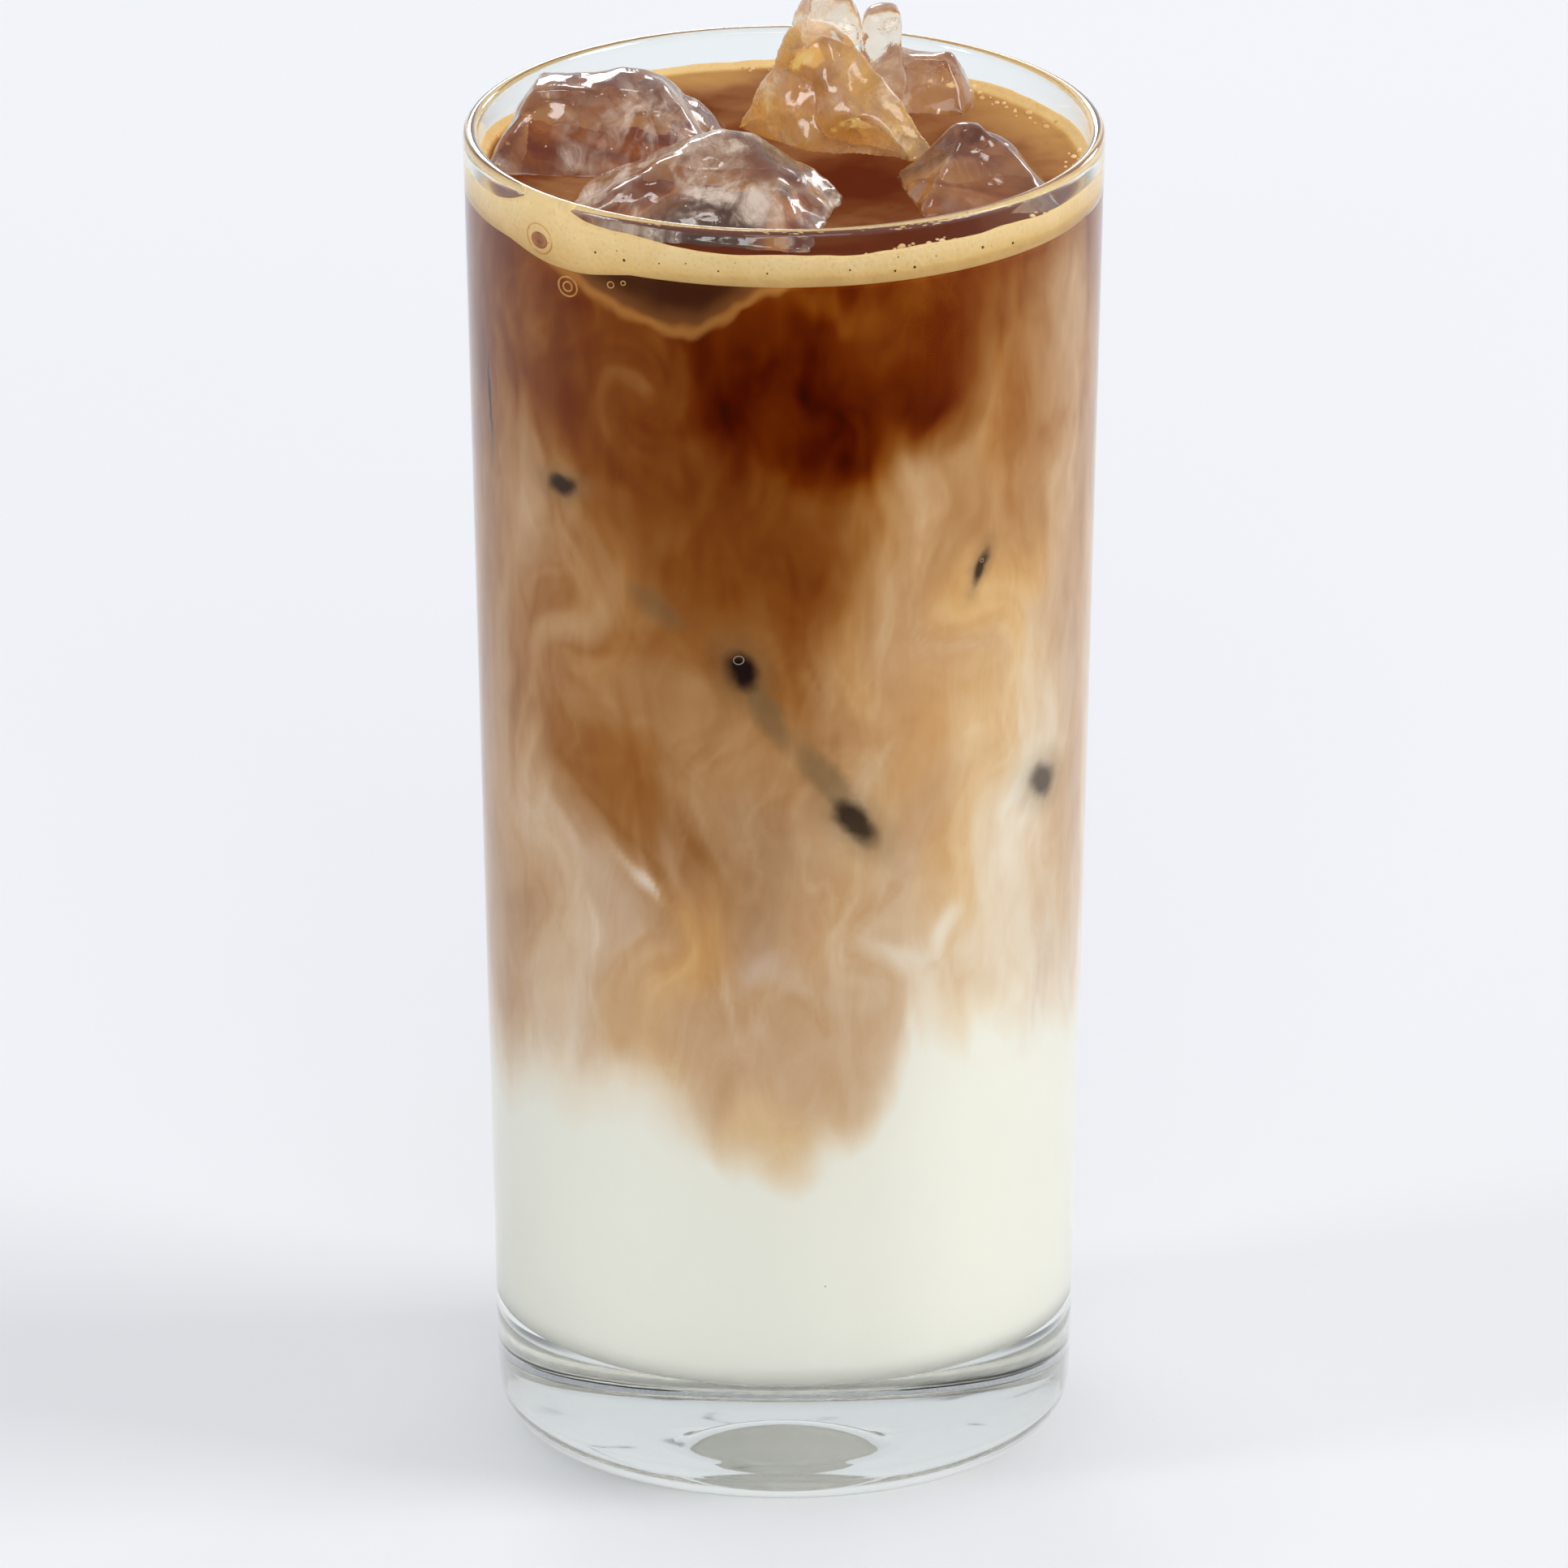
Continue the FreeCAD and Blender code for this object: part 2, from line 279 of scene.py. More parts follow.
def addFloor():
    s = stageSettings
    material, tree = newMaterial("paperSweep")
    mottle = noiseTexture(tree, objectPlace(tree), 3.0, 3.0)["Fac"]
    tone = mapRange(tree, mottle, 0.3, 0.7, 0.985, 1.0)
    colour = mixColour(tree, 1.0, srgb(*s["floorColour"]), tone, "MULTIPLY")
    finishMaterial(tree, matt(tree, colour, 0.9, 0.1))
    edge = [2 * math.pi * k / s["floorSides"] for k in range(s["floorSides"])]
    rim = [(s["floorRadius"] * math.cos(a), s["floorRadius"] * math.sin(a), 0) for a in edge]
    floor = meshObject("floor", rim, [tuple(range(s["floorSides"]))], material, smooth=False)


def addCards():  # low, soft-edged and seen only through the glass, they draw the curved streaks in its base
    s = stageSettings
    material, tree = newMaterial("greyCard")
    grey = matt(tree, srgb(*s["cardColour"]), 1.0, 0.0)
    empty = put(tree, "ShaderNodeBsdfTransparent").outputs[0]
    soft = put(tree, "ShaderNodeMixShader", {0: attribute(tree, "fade"), 1: empty, 2: grey})
    finishMaterial(tree, soft.outputs[0])
    away, half = s["cardAway"], s["cardHalfWidth"]
    columns, rows = 17, 9
    along, up = np.meshgrid(np.linspace(-1, 1, columns), np.linspace(0, 1, rows))
    along, up = along.ravel(), up.ravel()
    corners = [i * columns + j for i in range(rows - 1) for j in range(columns - 1)]
    faces = [(k, k + 1, k + columns + 1, k + columns) for k in corners]
    level = s["cardLift"] + s["cardHeight"] * up
    fade = s["cardCover"] * ease(1, 0.1, np.abs(along)) * ease(1, 0.3, up)
    for name, side in (("cardLeft", -1), ("cardRight", 1)):  # each across a diagonal
        points = np.stack([side * (away + half * along), away - half * along, level], 1)
        card = meshObject(name, points, faces, material, smooth=False)
        saveAttribute(card.data, "fade", fade)
        card.visible_camera = card.visible_diffuse = False
        card.visible_glossy = card.visible_shadow = False


def buildStage():
    addCamera()
    addSoftboxes()
    studioWorld()
    addFloor()
    addCards()
    scene = bpy.context.scene
    scene.view_settings.view_transform = "Standard"
    scene.cycles.use_denoising = True
    scene.cycles.max_bounces = 20
    scene.cycles.transmission_bounces = 18
    scene.cycles.transparent_max_bounces = 16
    scene.cycles.sample_clamp_indirect = 6.0
    print("stage: floor, softboxes and camera")


glassShape = {
    "wall": 1.7, "footRadius": 32.3, "heelRadius": 5.2, "floorCorner": 3.0, "ringWidth": 3.0, "lip": 1.4,
    "undersideRise": 0.5, "dimpleRadius": 7.5, "dimpleDepth": 2.6, "columns": 192, "wallRows": 60,
}


def wallRadius(height):  # outside, in mm
    foot = glassShape["footRadius"]
    return foot + (rimRadius - foot) * height / rimHeight


def innerRadius(height):
    return wallRadius(height) - glassShape["wall"]


def arcPoints(centre, radius, start, end, count):
    angles = np.radians(np.linspace(start, end, count))
    return [(centre[0] + radius * math.cos(a), centre[1] + radius * math.sin(a)) for a in angles]


def cornerCentre():  # of the rounded corner between the inner wall and the floor
    corner = glassShape["floorCorner"]
    return innerRadius(floorHeight + corner) - corner, floorHeight + corner


def glassOutline():  # radius and height, from the middle of the underside round to the middle of the floor
    g = glassShape
    heel, corner, rise, dimple, deep = [g[name] for name in (
        "heelRadius", "floorCorner", "undersideRise", "dimpleRadius", "dimpleDepth")]
    ringOuter = g["footRadius"] - heel
    ringInner = ringOuter - g["ringWidth"]
    lipStart = rimHeight - g["lip"]
    ball = (dimple ** 2 + deep ** 2) / (2 * deep)
    ballCentre = rise + deep - ball
    points = [(r, ballCentre + math.sqrt(ball ** 2 - r ** 2)) for r in np.linspace(0.35, dimple - 0.5, 14)]
    points += [(dimple - 0.1, rise + 0.10), (dimple + 0.5, rise)]
    points += [(r, rise) for r in np.linspace(dimple + 2, ringInner - 1.2, 7)]
    # the foot ring and the rounded heel
    points += [(ringInner - 0.4, rise * 0.75), (ringInner + 0.1, rise * 0.2), (ringInner + 0.5, 0.0)]
    points += [(r, 0.0) for r in np.linspace(ringInner + 1.0, ringOuter - 0.3, 4)]
    points += arcPoints((ringOuter, heel), heel, -88, -2, 22)
    # up the outside, over the lip and down the inside
    points += [(wallRadius(h), h) for h in np.linspace(heel + 0.6, lipStart, g["wallRows"])]
    half = g["wall"] / 2
    points += arcPoints((wallRadius(rimHeight) - half, rimHeight - half), half, 8, 172, 13)
    wallEnd = floorHeight + corner + 0.4
    points += [(innerRadius(h), h) for h in np.linspace(lipStart, wallEnd, g["wallRows"])]
    points += arcPoints(cornerCentre(), corner, -2, -88, 10)
    points += [(r, floorHeight) for r in np.linspace(innerRadius(floorHeight) - corner - 1, 0.8, 12)]
    return points, ballCentre + ball


def clearGlass():
    material, tree = newMaterial("clearGlass")
    place = objectPlace(tree)
    waves = noiseTexture(tree, place, 34.0, 2.0, 0.4)["Fac"]  # the faint waves of pressed glass
    tint = mixColour(tree, waves, srgb(245, 250, 247), srgb(249, 252, 250))
    # the rim and the base shine; along the drink the wall reflects little, so the coffee keeps its depth
    level = put(tree, "ShaderNodeSeparateXYZ", {0: place}).outputs["Z"]
    rim = mapRange(tree, level, (rimHeight - 1.0) * mm, (rimHeight - 0.5) * mm, smooth=True)
    base = mapRange(tree, level, floorHeight * mm, (floorHeight - 3) * mm, smooth=True)
    shader = principled(tree, {
        "Base Color": tint, "Roughness": 0.0, "IOR": 1.5, "Transmission Weight": 1.0,
        "Specular Tint": (0.04, 0.04, 0.04, 1.0), "Normal": bumped(tree, waves, 0.10, 0.0012),
        "Coat Weight": math2(tree, "ADD", rim, base, clamp=True), "Coat Roughness": 0.01, "Coat IOR": 1.5,
    })
    finishMaterial(tree, clearShadow(tree, shader, (0.93, 0.94, 0.94, 1.0)))
    return material


def buildGlass():
    outline, dimpleTop = glassOutline()
    columns = glassShape["columns"]
    turn = np.arange(columns) * 2 * math.pi / columns
    points = []
    for radius, height in outline:
        for a in turn:
            points.append((radius * math.cos(a) * mm, radius * math.sin(a) * mm, height * mm))
    points += [(0, 0, dimpleTop * mm), (0, 0, floorHeight * mm)]
    faces = turnedFaces(len(outline), columns)
    piece = meshObject("tumbler", points, faces, clearGlass())
    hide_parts("glass")
    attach(piece, "root")
    print("glass:", len(faces), "faces")


def lattice(ix, iy, iz, seed):
    n = (ix * 73856093) ^ (iy * 19349663) ^ (iz * 83492791) ^ (seed * 2654435)
    n = ((n ^ (n >> 13)) * 1274126177) & 0x7fffffff
    n = ((n ^ (n >> 15)) * 1103515245) & 0x7fffffff
    return n / 0x7fffffff * 2 - 1


def noise(p, seed):
    cell = np.floor(p).astype(np.int64)
    f = p - cell
    f = f * f * f * (f * (f * 6 - 15) + 10)
    total = 0
    for dx in (0, 1):
        wx = f[:, 0] if dx else 1 - f[:, 0]
        for dy in (0, 1):
            wy = f[:, 1] if dy else 1 - f[:, 1]
            for dz in (0, 1):
                wz = f[:, 2] if dz else 1 - f[:, 2]
                value = lattice(cell[:, 0] + dx, cell[:, 1] + dy, cell[:, 2] + dz, seed)
                total = total + wx * wy * wz * value
    return total


def clouds(p, octaves, seed, gain=0.5):
    total, reach, size = 0, 1, 0
    for k in range(octaves):
        total = total + noise(p, seed + k) * reach
        size += reach
        p = p * 2.03 + 5.1
        reach *= gain
    return total / size


# Places on the side are given as a turn in degrees, 0 at the front and growing to the right, and a
# height in mm.
drinkShape = {"intoWall": 0.15, "columns": 384, "rows": 236, "top": 147.0}

# How much coffee there is at each height, on the left flank and on the right one: (height, strength).
leftFlank = [
    (34, -0.02), (42, 0.0), (47, 0.05), (51, 0.16), (58, .30), (66, .33), (74, .40), (82, .47), (90, .54),
    (98, .52), (106, .48), (114, .47), (122, .58), (130, .72), (138, .75), (150, .74),
]
rightFlank = [
    (34, -0.02), (46, -0.02), (50, 0.0), (54, .05), (60, .12), (66, .16), (74, .19), (82, .22), (90, .25),
    (98, .27), (106, .30), (114, .37), (122, .44), (130, .44), (138, .58), (144, .72), (150, .76),
]

# Clouds of coffee or milk: turn, height, half width, half height, tilt, softness, strength, warmth, cover.
coffeeClouds = [
    (-32, 134, 21, 13, -8, .75, .78, .35, .85),
    (-60, 137, 9, 8, 0, .8, .66, .6, .7),
    (-24, 127, 12, 13, -20, .8, .77, .3, .8),
    (-48, 112, 8, 8, 20, .8, .46, -.2, .6),
    (-24, 113, 8, 10, -14, .8, .69, .2, .7),
    (-50, 92, 9, 9, 15, .8, .50, .3, .7),
    (-30, 91, 9, 9, -10, .8, .53, .2, .7),
    (-66, 100, 7, 8, 0, .8, .45, .4, .7),
    (-70, 84, 6, 12, 0, .8, .30, .2, .6),
    (-25, 104, 7, 7, 0, .8, .56, .2, .7),
    (-55, 114, 2.6, 11, -14, .9, .30, -.4, .7),
    (-42, 101, 2.2, 11, -22, .9, .32, -.1, .6),
    (-29, 127, 2.2, 3.0, 30, .9, .60, .1, .7),
    (-31, 131, 1.6, 2.0, -20, .9, .56, .2, .7),
    (-62, 94, 2.4, 12, 8, .9, .34, -.6, .6),
    # brown lobe under the bowl
    (-7, 117, 14, 12, -6, .6, .74, .4, .95),
    (-13, 106, 9, 9, 0, .7, .68, .35, .85),
    (-18, 124, 9, 8, 20, .7, .77, .35, .8),
    (-36, 82, 8, 9, 0, .8, .66, .6, .8),
    (-55, 76, 8, 12, 0, .8, .20, -.3, .8),
    # espresso bowl
    (8, 138, 18, 12, -16, .4, .90, .9, 1),
    (-2, 133, 11, 9, -10, .6, .98, .95, .9),
    (8, 128, 9, 5, -6, .6, .93, .95, .9),
    (-10, 140, 7, 5, 0, .7, .84, .8, .9),
    (28, 142, 9, 8, 30, .7, .80, .9, .9),
    (8, 145, 12, 2.4, 0, .8, .72, .9, .8),
    # right of the bowl and the lobe
    (24, 106, 7, 14, -6, .8, .34, -.1, .8),
    (32, 120, 6, 9, 18, .8, .38, .2, .8),
    (46, 119, 7, 9, 0, .8, .46, .1, .7),
    (55, 131, 6, 10, 0, .8, .62, .7, .7),
    (50, 141, 6, 5, 0, .8, .60, .6, .7),
    (66, 136, 4, 9, 0, .8, .30, -.4, .7),
    (44, 97, 5, 8, 0, .8, .20, .4, .7),
    (52, 104, 5, 5, 0, .8, .26, -.6, .7),
    (36, 88, 6, 9, 0, .8, .24, .4, .7),
    (53, 79, 9, 19, 0, .8, .06, -.3, .85),
    # the middle of the mixed layer
    (-8, 82, 9, 10, 10, .8, .47, -.4, .75),
    (-10, 94, 5, 6, 0, .8, .47, .2, .5),
    (5, 93, 6, 7, 0, .8, .42, .3, .6),
    (-22, 78, 6, 8, -10, .8, .56, -.4, .75),
    (0, 73, 9, 7, 0, .8, .44, -.3, .6),
    (14, 70, 8, 12, 0, .8, .30, .2, .6),
    # lower plume and its tip
    (-3, 56, 13, 9, 0, .5, .33, -.35, 1),
    (-1, 50, 12, 8, 0, .5, .30, -.4, 1),
    (-3, 44.5, 6.5, 5, -8, .75, .20, .4, .9),
    (-33, 57, 5, 6, 0, .7, .30, -.1, .8),
    (-52, 60, 8, 7, 0, .7, .17, -.3, .7),
    (42, 62, 6, 5, 0, .7, .12, -.3, .7),
    (28, 57, 4, 5, 0, .8, .10, -.2, .6),
    # the far side
    (-150, 137, 17, 11, 8, .5, .88, .7, .95),
    (-138, 126, 10, 9, 20, .7, .78, .5, .8),
    (158, 122, 13, 13, -10, .75, .70, .3, .85),
    (176, 106, 8, 12, 12, .8, .56, .3, .8),
    (108, 132, 13, 12, 0, .75, .70, .4, .8),
    (98, 112, 8, 14, -8, .8, .36, 0, .8),
    (128, 108, 8, 14, 10, .8, .34, -.2, .8),
    (140, 92, 9, 11, 0, .8, .46, .3, .8),
    (112, 88, 9, 10, 0, .8, .30, .3, .8),
    (92, 84, 7, 12, 0, .8, .24, .3, .7),
    (-105, 120, 12, 14, 0, .75, .66, .2, .8),
    (-124, 104, 8, 13, -8, .8, .38, 0, .8),
    (-95, 96, 8, 12, 8, .8, .50, .3, .8),
    (-150, 98, 9, 13, 0, .8, .40, .1, .8),
    (-170, 84, 9, 10, 0, .8, .34, .4, .7),
    (-120, 78, 9, 10, 0, .8, .42, .3, .7),
    (-88, 70, 8, 9, 0, .8, .34, 0, .7),
    (165, 68, 10, 10, 0, .8, .30, .2, .7),
    (118, 66, 9, 9, 0, .8, .24, .1, .7),
    (148, 52, 10, 8, 6, .55, .32, .2, .95),
    (144, 45, 5, 5, 0, .7, .24, .4, .8),
    (-122, 51, 11, 8, -6, .55, .33, .2, .95),
    (-126, 44, 5, 5, 0, .7, .24, .4, .8),
    (-170, 56, 6, 5, 0, .7, .14, 0, .7),
    # pale wisps
    (-34, 71, 2.4, 1.6, -30, .9, .02, -.8, .75),
    (-24, 75, 1.2, 5, 30, .9, .30, -.5, .4),
    (-43, 62, .9, 5.5, 26, .9, .10, -.3, .6),
    (-10, 60, .8, 6.5, 14, .9, .14, -.2, .5),
    (34, 67, 1.6, 4.5, -28, .9, .00, -.3, .7),
]

# Eddies that wind the clouds up: turn, height, reach, twist in degrees.
eddies = [
    (-27, 133, 6, 120), (-12, 92, 10, 50), (-46, 104, 10, 50), (20, 98, 9, -40),
    (38, 104, 10, -60), (-24, 64, 8, 50), (14, 64, 8, -50), (48, 84, 10, 50),
    (26, 130, 8, 40), (-58, 76, 12, -60),
    (100, 118, 12, 45), (128, 92, 11, -45), (165, 120, 11, 50), (-165, 96, 11, -45), (-130, 120, 12, 45),
    (-110, 88, 11, -40), (-100, 132, 8, 60), (150, 70, 9, 40), (-150, 68, 9, -40),
]

# How far the flow bends, in mm, and how strong its finer marks are.
flowShape = {
    "wideCell": 19, "wideDrift": 6, "fineCell": 7, "fineDriftRound": 3.2, "fineDriftUp": 4.0,
    "tongues": 0.2, "farTongues": 0.04, "milkThreads": 0.045, "coffeeVeins": 0.035,
    "wisps": 0.045, "upperWisps": 0.04,
}


def roundPoint(turn, height, radius, squash):
    a = np.radians(turn)
    return np.stack([np.sin(a) * radius, -np.cos(a) * radius, height * squash], 1)


# Coffee strength (0 milk, 1 espresso) and warmth (-1 rosy grey, +1 amber) at points in mm.
def marbling(x, y, z):
    radius, f = surfaceRadius, flowShape
    arc = radius * math.pi / 180
    start = np.degrees(np.arctan2(x, -y))
    turn, height = start.copy(), z.copy()
    for centre, level, reach, twist in eddies:
        du, dv = apart(turn, centre) * arc, height - level
        a = math.radians(twist) * np.exp(-1.6 * (du * du + dv * dv) / reach ** 2)
        turn = turn + ((du * np.cos(a) - dv * np.sin(a)) - du) / arc
        height = height + ((du * np.sin(a) + dv * np.cos(a)) - dv)
    wide = np.stack([x, y, z * 0.6], 1) / f["wideCell"]
    turn = turn + clouds(wide, 3, 7) * f["wideDrift"] / arc
    height = height + clouds(wide + 11.3, 3, 12) * f["wideDrift"]
    fine = roundPoint(turn, height, radius, 0.5) / f["fineCell"]
    turn = turn + clouds(fine, 3, 31, 0.6) * f["fineDriftRound"] / arc
    height = height + clouds(fine + 3.7, 3, 36, 0.6) * f["fineDriftUp"]

    right = ease(0.1, 0.9, 0.5 + 0.5 * np.sin(np.radians(turn)))
    coffee = (np.interp(height, *np.array(leftFlank).T) * (1 - right)
              + np.interp(height, *np.array(rightFlank).T) * right)
    body = ease(milkHeight - 8, milkHeight + 8, height)
    hidden = ease(75, 110, abs(apart(start, 0)))  # the tongues are a little stronger on the far side
    tongues = roundPoint(turn, height, radius, 0.33)
    coffee = coffee + clouds(tongues / 8, 4, 71, 0.55) * (f["tongues"] + f["farTongues"] * hidden) * body
    warmth = -0.25 + 0.75 * ease(60, 125, height) + 1.5 * clouds(tongues / 11 + 9, 3, 91) * body
    for centre, level, halfWidth, halfHeight, tilt, soft, strength, warm, cover in coffeeClouds:
        a = math.radians(tilt)
        du, dv = apart(turn, centre) * arc, height - level
        u, v = du * math.cos(a) + dv * math.sin(a), -du * math.sin(a) + dv * math.cos(a)
        mask = cover * (1 - ease(1 - soft, 1 + soft * 0.6, np.hypot(u / halfWidth, v / halfHeight)))
        coffee = coffee + (strength - coffee) * mask
        warmth = warmth + (warm - warmth) * mask

    # threads of milk and of coffee drawn out along the flow
    flow = roundPoint(turn, height, radius, 0.4)
    thread = 1 - ease(0.0, 0.22, np.abs(clouds(flow / 5.5, 3, 131)))
    coffee = coffee - f["milkThreads"] * thread * ease(-0.1, 0.35, clouds(flow / 12, 2, 151)) * body
    vein = 1 - ease(0.0, 0.2, np.abs(clouds(flow / 7 + 17, 3, 171)))
    coffee = coffee + f["coffeeVeins"] * vein * ease(0.0, 0.4, clouds(flow / 14 + 5, 2, 191)) * body
    upper = ease(90, 125, height)
    coffee = coffee + (f["wisps"] + f["upperWisps"] * upper) * clouds(flow / 2.6, 3, 211, 0.6) * body
    return coffee, warmth


# Painted shade where tips of ice touch the wall inside the drink: turn, height, half width, half height,
# tilt, darkness.
iceTips = [
    (-46, 120, 2.5, 1.3, -6, 0.9), (-25, 108, 3.2, 1.4, 30, 0.30), (-8, 101.3, 1.9, 2.7, -24, 1.0),
    (13.8, 83.0, 1.7, 3.8, -40, 0.9), (-4.2, 97.2, 1.3, 5.2, -30, 0.42),
    (9.2, 87.4, 1.5, 5.8, -36, 0.42), (40, 111, 0.9, 2.3, 24, 0.9),
    (59.5, 82.5, 2.9, 2.1, 20, 0.8), (-70.5, 126, 0.4, 4.8, -4, 0.85),
]

# A dark tip is painted shade with a grey painted shadow round it, and a faint one is all painted shadow:
# (layer, growth, strength). Depth in mm.
tipShape = {
    "dark": [("shadeCore", 1.0, 1.0), ("paintedShadow", 1.9, 0.4)], "faint": [("paintedShadow", 1.3, 1.5)],
    "darkFrom": 0.5, "depth": 6, "wobble": 1.6,
}

milkTones = {
    "rosy": [
        (0.0, (240, 238, 230)), (.07, (234, 222, 210)), (.2, (214, 192, 172)), (.33, (198, 165, 136)),
        (.46, (176, 140, 108)), (.58, (150, 109, 71)), (.71, (124, 78, 40)), (.84, (98, 48, 14)),
        (.96, (62, 12, 0)), (1.0, (42, 8, 0)),
    ],
    "amber": [
        (0.0, (242, 238, 226)), (.07, (240, 222, 190)), (.2, (230, 194, 140)), (.33, (212, 164, 104)),
        (.46, (192, 138, 76)), (.58, (170, 108, 44)), (.71, (146, 76, 12)), (.84, (116, 42, 0)),
        (.96, (80, 12, 0)), (1.0, (54, 8, 0)),
    ],
}


def tipGroup():  # a soft oval mask on the wall of the drink
    group = bpy.data.node_groups.new("iceTip", "ShaderNodeTree")
    vectors = [(name, "Vector") for name in ("Vector", "Centre", "Turn", "Size")]
    groupSockets(group, vectors + [("Darkness", "Float")], ("Mask", "Float"))
    given = put(group, "NodeGroupInput").outputs
    near = put(group, "ShaderNodeMapping", {
        "Vector": given["Vector"], "Location": given["Centre"], "Rotation": given["Turn"],
        "Scale": given["Size"],
    }, vector_type="TEXTURE")
    length = put(group, "ShaderNodeVectorMath", {0: near.outputs[0]}, operation="LENGTH").outputs["Value"]
    mask = mapRange(group, length, 1.3, 0.4, smooth=True)
    put(group, "NodeGroupOutput", {"Mask": math2(group, "MULTIPLY", mask, given["Darkness"])})
    return group


def tipShadeMasks(tree, place):  # painted shade where ice lies against the wall: dark cores and a grey painted shadow
    size = tipShape["wobble"] * mm
    cloud = noiseTexture(tree, place, 420.0, 3.0)["Color"]
    centred = put(tree, "ShaderNodeVectorMath", {0: cloud, 1: (0.5, 0.5, 0.5)}, operation="SUBTRACT")
    wobble = put(tree, "ShaderNodeVectorMath", {0: centred.outputs[0], "Scale": size}, operation="SCALE")
    bent = put(tree, "ShaderNodeVectorMath", {0: place, 1: wobble.outputs[0]}, operation="ADD").outputs[0]
    group = tipGroup()
    masks = {}
    for turn, height, halfWidth, halfHeight, tilt, darkness in iceTips:
        radius = (innerRadius(height) + drinkShape["intoWall"]) * mm
        a = math.radians(turn)
        centre = Vector((math.sin(a) * radius, -math.cos(a) * radius, height * mm))
        for layer, grow, strength in tipShape["dark" if darkness > tipShape["darkFrom"] else "faint"]:
            tip = put(tree, "ShaderNodeGroup", node_tree=group)
            tree.links.new(bent, tip.inputs["Vector"])
            tip.inputs["Centre"].default_value = centre
            tip.inputs["Turn"].default_value = (0, math.radians(tilt), a)
            size = (halfWidth * grow * mm, tipShape["depth"] * mm, halfHeight * grow * mm)
            tip.inputs["Size"].default_value = size
            tip.inputs["Darkness"].default_value = darkness * strength
            mask = tip.outputs[0]
            masks[layer] = math2(tree, "MAXIMUM", masks[layer], mask) if layer in masks else mask
    return masks


def iceShadePatch(tree, colour):  # painted shade where the front piece of ice leans on the wall: dark, with a golden edge
    patch = attribute(tree, "patch")
    edge = mapRange(tree, math2(tree, "ABSOLUTE", patch), 1.1, 0.1, smooth=True)
    inside = mapRange(tree, patch, -0.3, 1.3, smooth=True)
    deep = mapRange(tree, patch, 0.2, 3.6, smooth=True)
    # painted shade, darker deeper into the patch
    patchShadeColour = mixColour(tree, deep, srgb(128, 80, 42), srgb(54, 28, 15))
    colour = mixColour(tree, math2(tree, "MULTIPLY", inside, 0.85), colour, patchShadeColour)
    return mixColour(tree, math2(tree, "MULTIPLY", edge, 0.6), colour, srgb(196, 134, 66))


def marbledDrink():
    material, tree = newMaterial("marbledLatte")
    place = objectPlace(tree)
    stretched = put(tree, "ShaderNodeMapping", {"Vector": place, "Scale": (1.0, 1.0, 0.45)}).outputs[0]
    swirl = noiseTexture(tree, stretched, 210.0, 5.0, 0.62, 1.2)["Fac"]
    grain = noiseTexture(tree, place, 1500.0, 2.0)["Fac"]
    coffee = attribute(tree, "coffee")
    inBody = mapRange(tree, coffee, 0.02, 0.2)
    offset = math2(tree, "MULTIPLY", math2(tree, "SUBTRACT", swirl, 0.5), 0.18)
    speckle = math2(tree, "MULTIPLY", math2(tree, "SUBTRACT", grain, 0.5), 0.012)
    offset = math2(tree, "MULTIPLY", math2(tree, "ADD", offset, speckle), inBody)
    strength = math2(tree, "ADD", coffee, offset, clamp=True)
    warm = mapRange(tree, attribute(tree, "warmth"), -1.0, 1.0)
    rosy, amber = [ramp(tree, strength, milkTones[name]) for name in ("rosy", "amber")]
    colour = mixColour(tree, warm, rosy, amber)
    masks = tipShadeMasks(tree, place)
    # painted shadow and painted shade where ice touches the wall
    colour = mixColour(tree, masks["paintedShadow"], colour, srgb(118, 98, 70))
    colour = mixColour(tree, masks["shadeCore"], colour, srgb(34, 20, 18))
    colour = iceShadePatch(tree, colour)
    finishMaterial(tree, matt(tree, colour, 0.6, 0.0))
    return material


# The patch of painted shade where ice leans on the wall: its turn in degrees, its lowest height and half
# width in mm.
patchShape = {"turn": -19, "lowest": 141.0, "halfWidth": 15.5}


def patchDepth(turn, height):  # how far a point lies inside the patch, in mm
    arc = surfaceRadius * math.pi / 180
    flow = roundPoint(turn, height, surfaceRadius, 1.0)
    u = apart(turn, patchShape["turn"]) * arc + 1.6 * clouds(flow / 5, 3, 501)
    v = height - patchShape["lowest"] + clouds(flow / 4, 3, 511)
    left = 0.34 * np.sqrt((u + 1.0) ** 2 + 2.0) - 0.4
    right = 0.75 * np.sqrt((u - 1.0) ** 2 + 2.0) - 0.9
    return np.minimum(v - np.where(u < 0, left, right), patchShape["halfWidth"] - np.abs(u + 3))


def drinkOutline():  # radius and height, from the middle of the floor up the wall and over the top
    into, top = drinkShape["intoWall"], drinkShape["top"]
    corner = glassShape["floorCorner"]
    edge = innerRadius(floorHeight) - corner - 1
    outline = [(r, floorHeight - into) for r in np.linspace(2.5, edge, 8)]
    outline += arcPoints(cornerCentre(), corner + into, -86, -4, 8)
    levels = np.linspace(floorHeight + corner + 0.5, top, drinkShape["rows"])
    outline += [(innerRadius(h) + into, h) for h in levels]
    return outline + [(r, top) for r in (32.0, 26.0, 16.0, 6.0)]


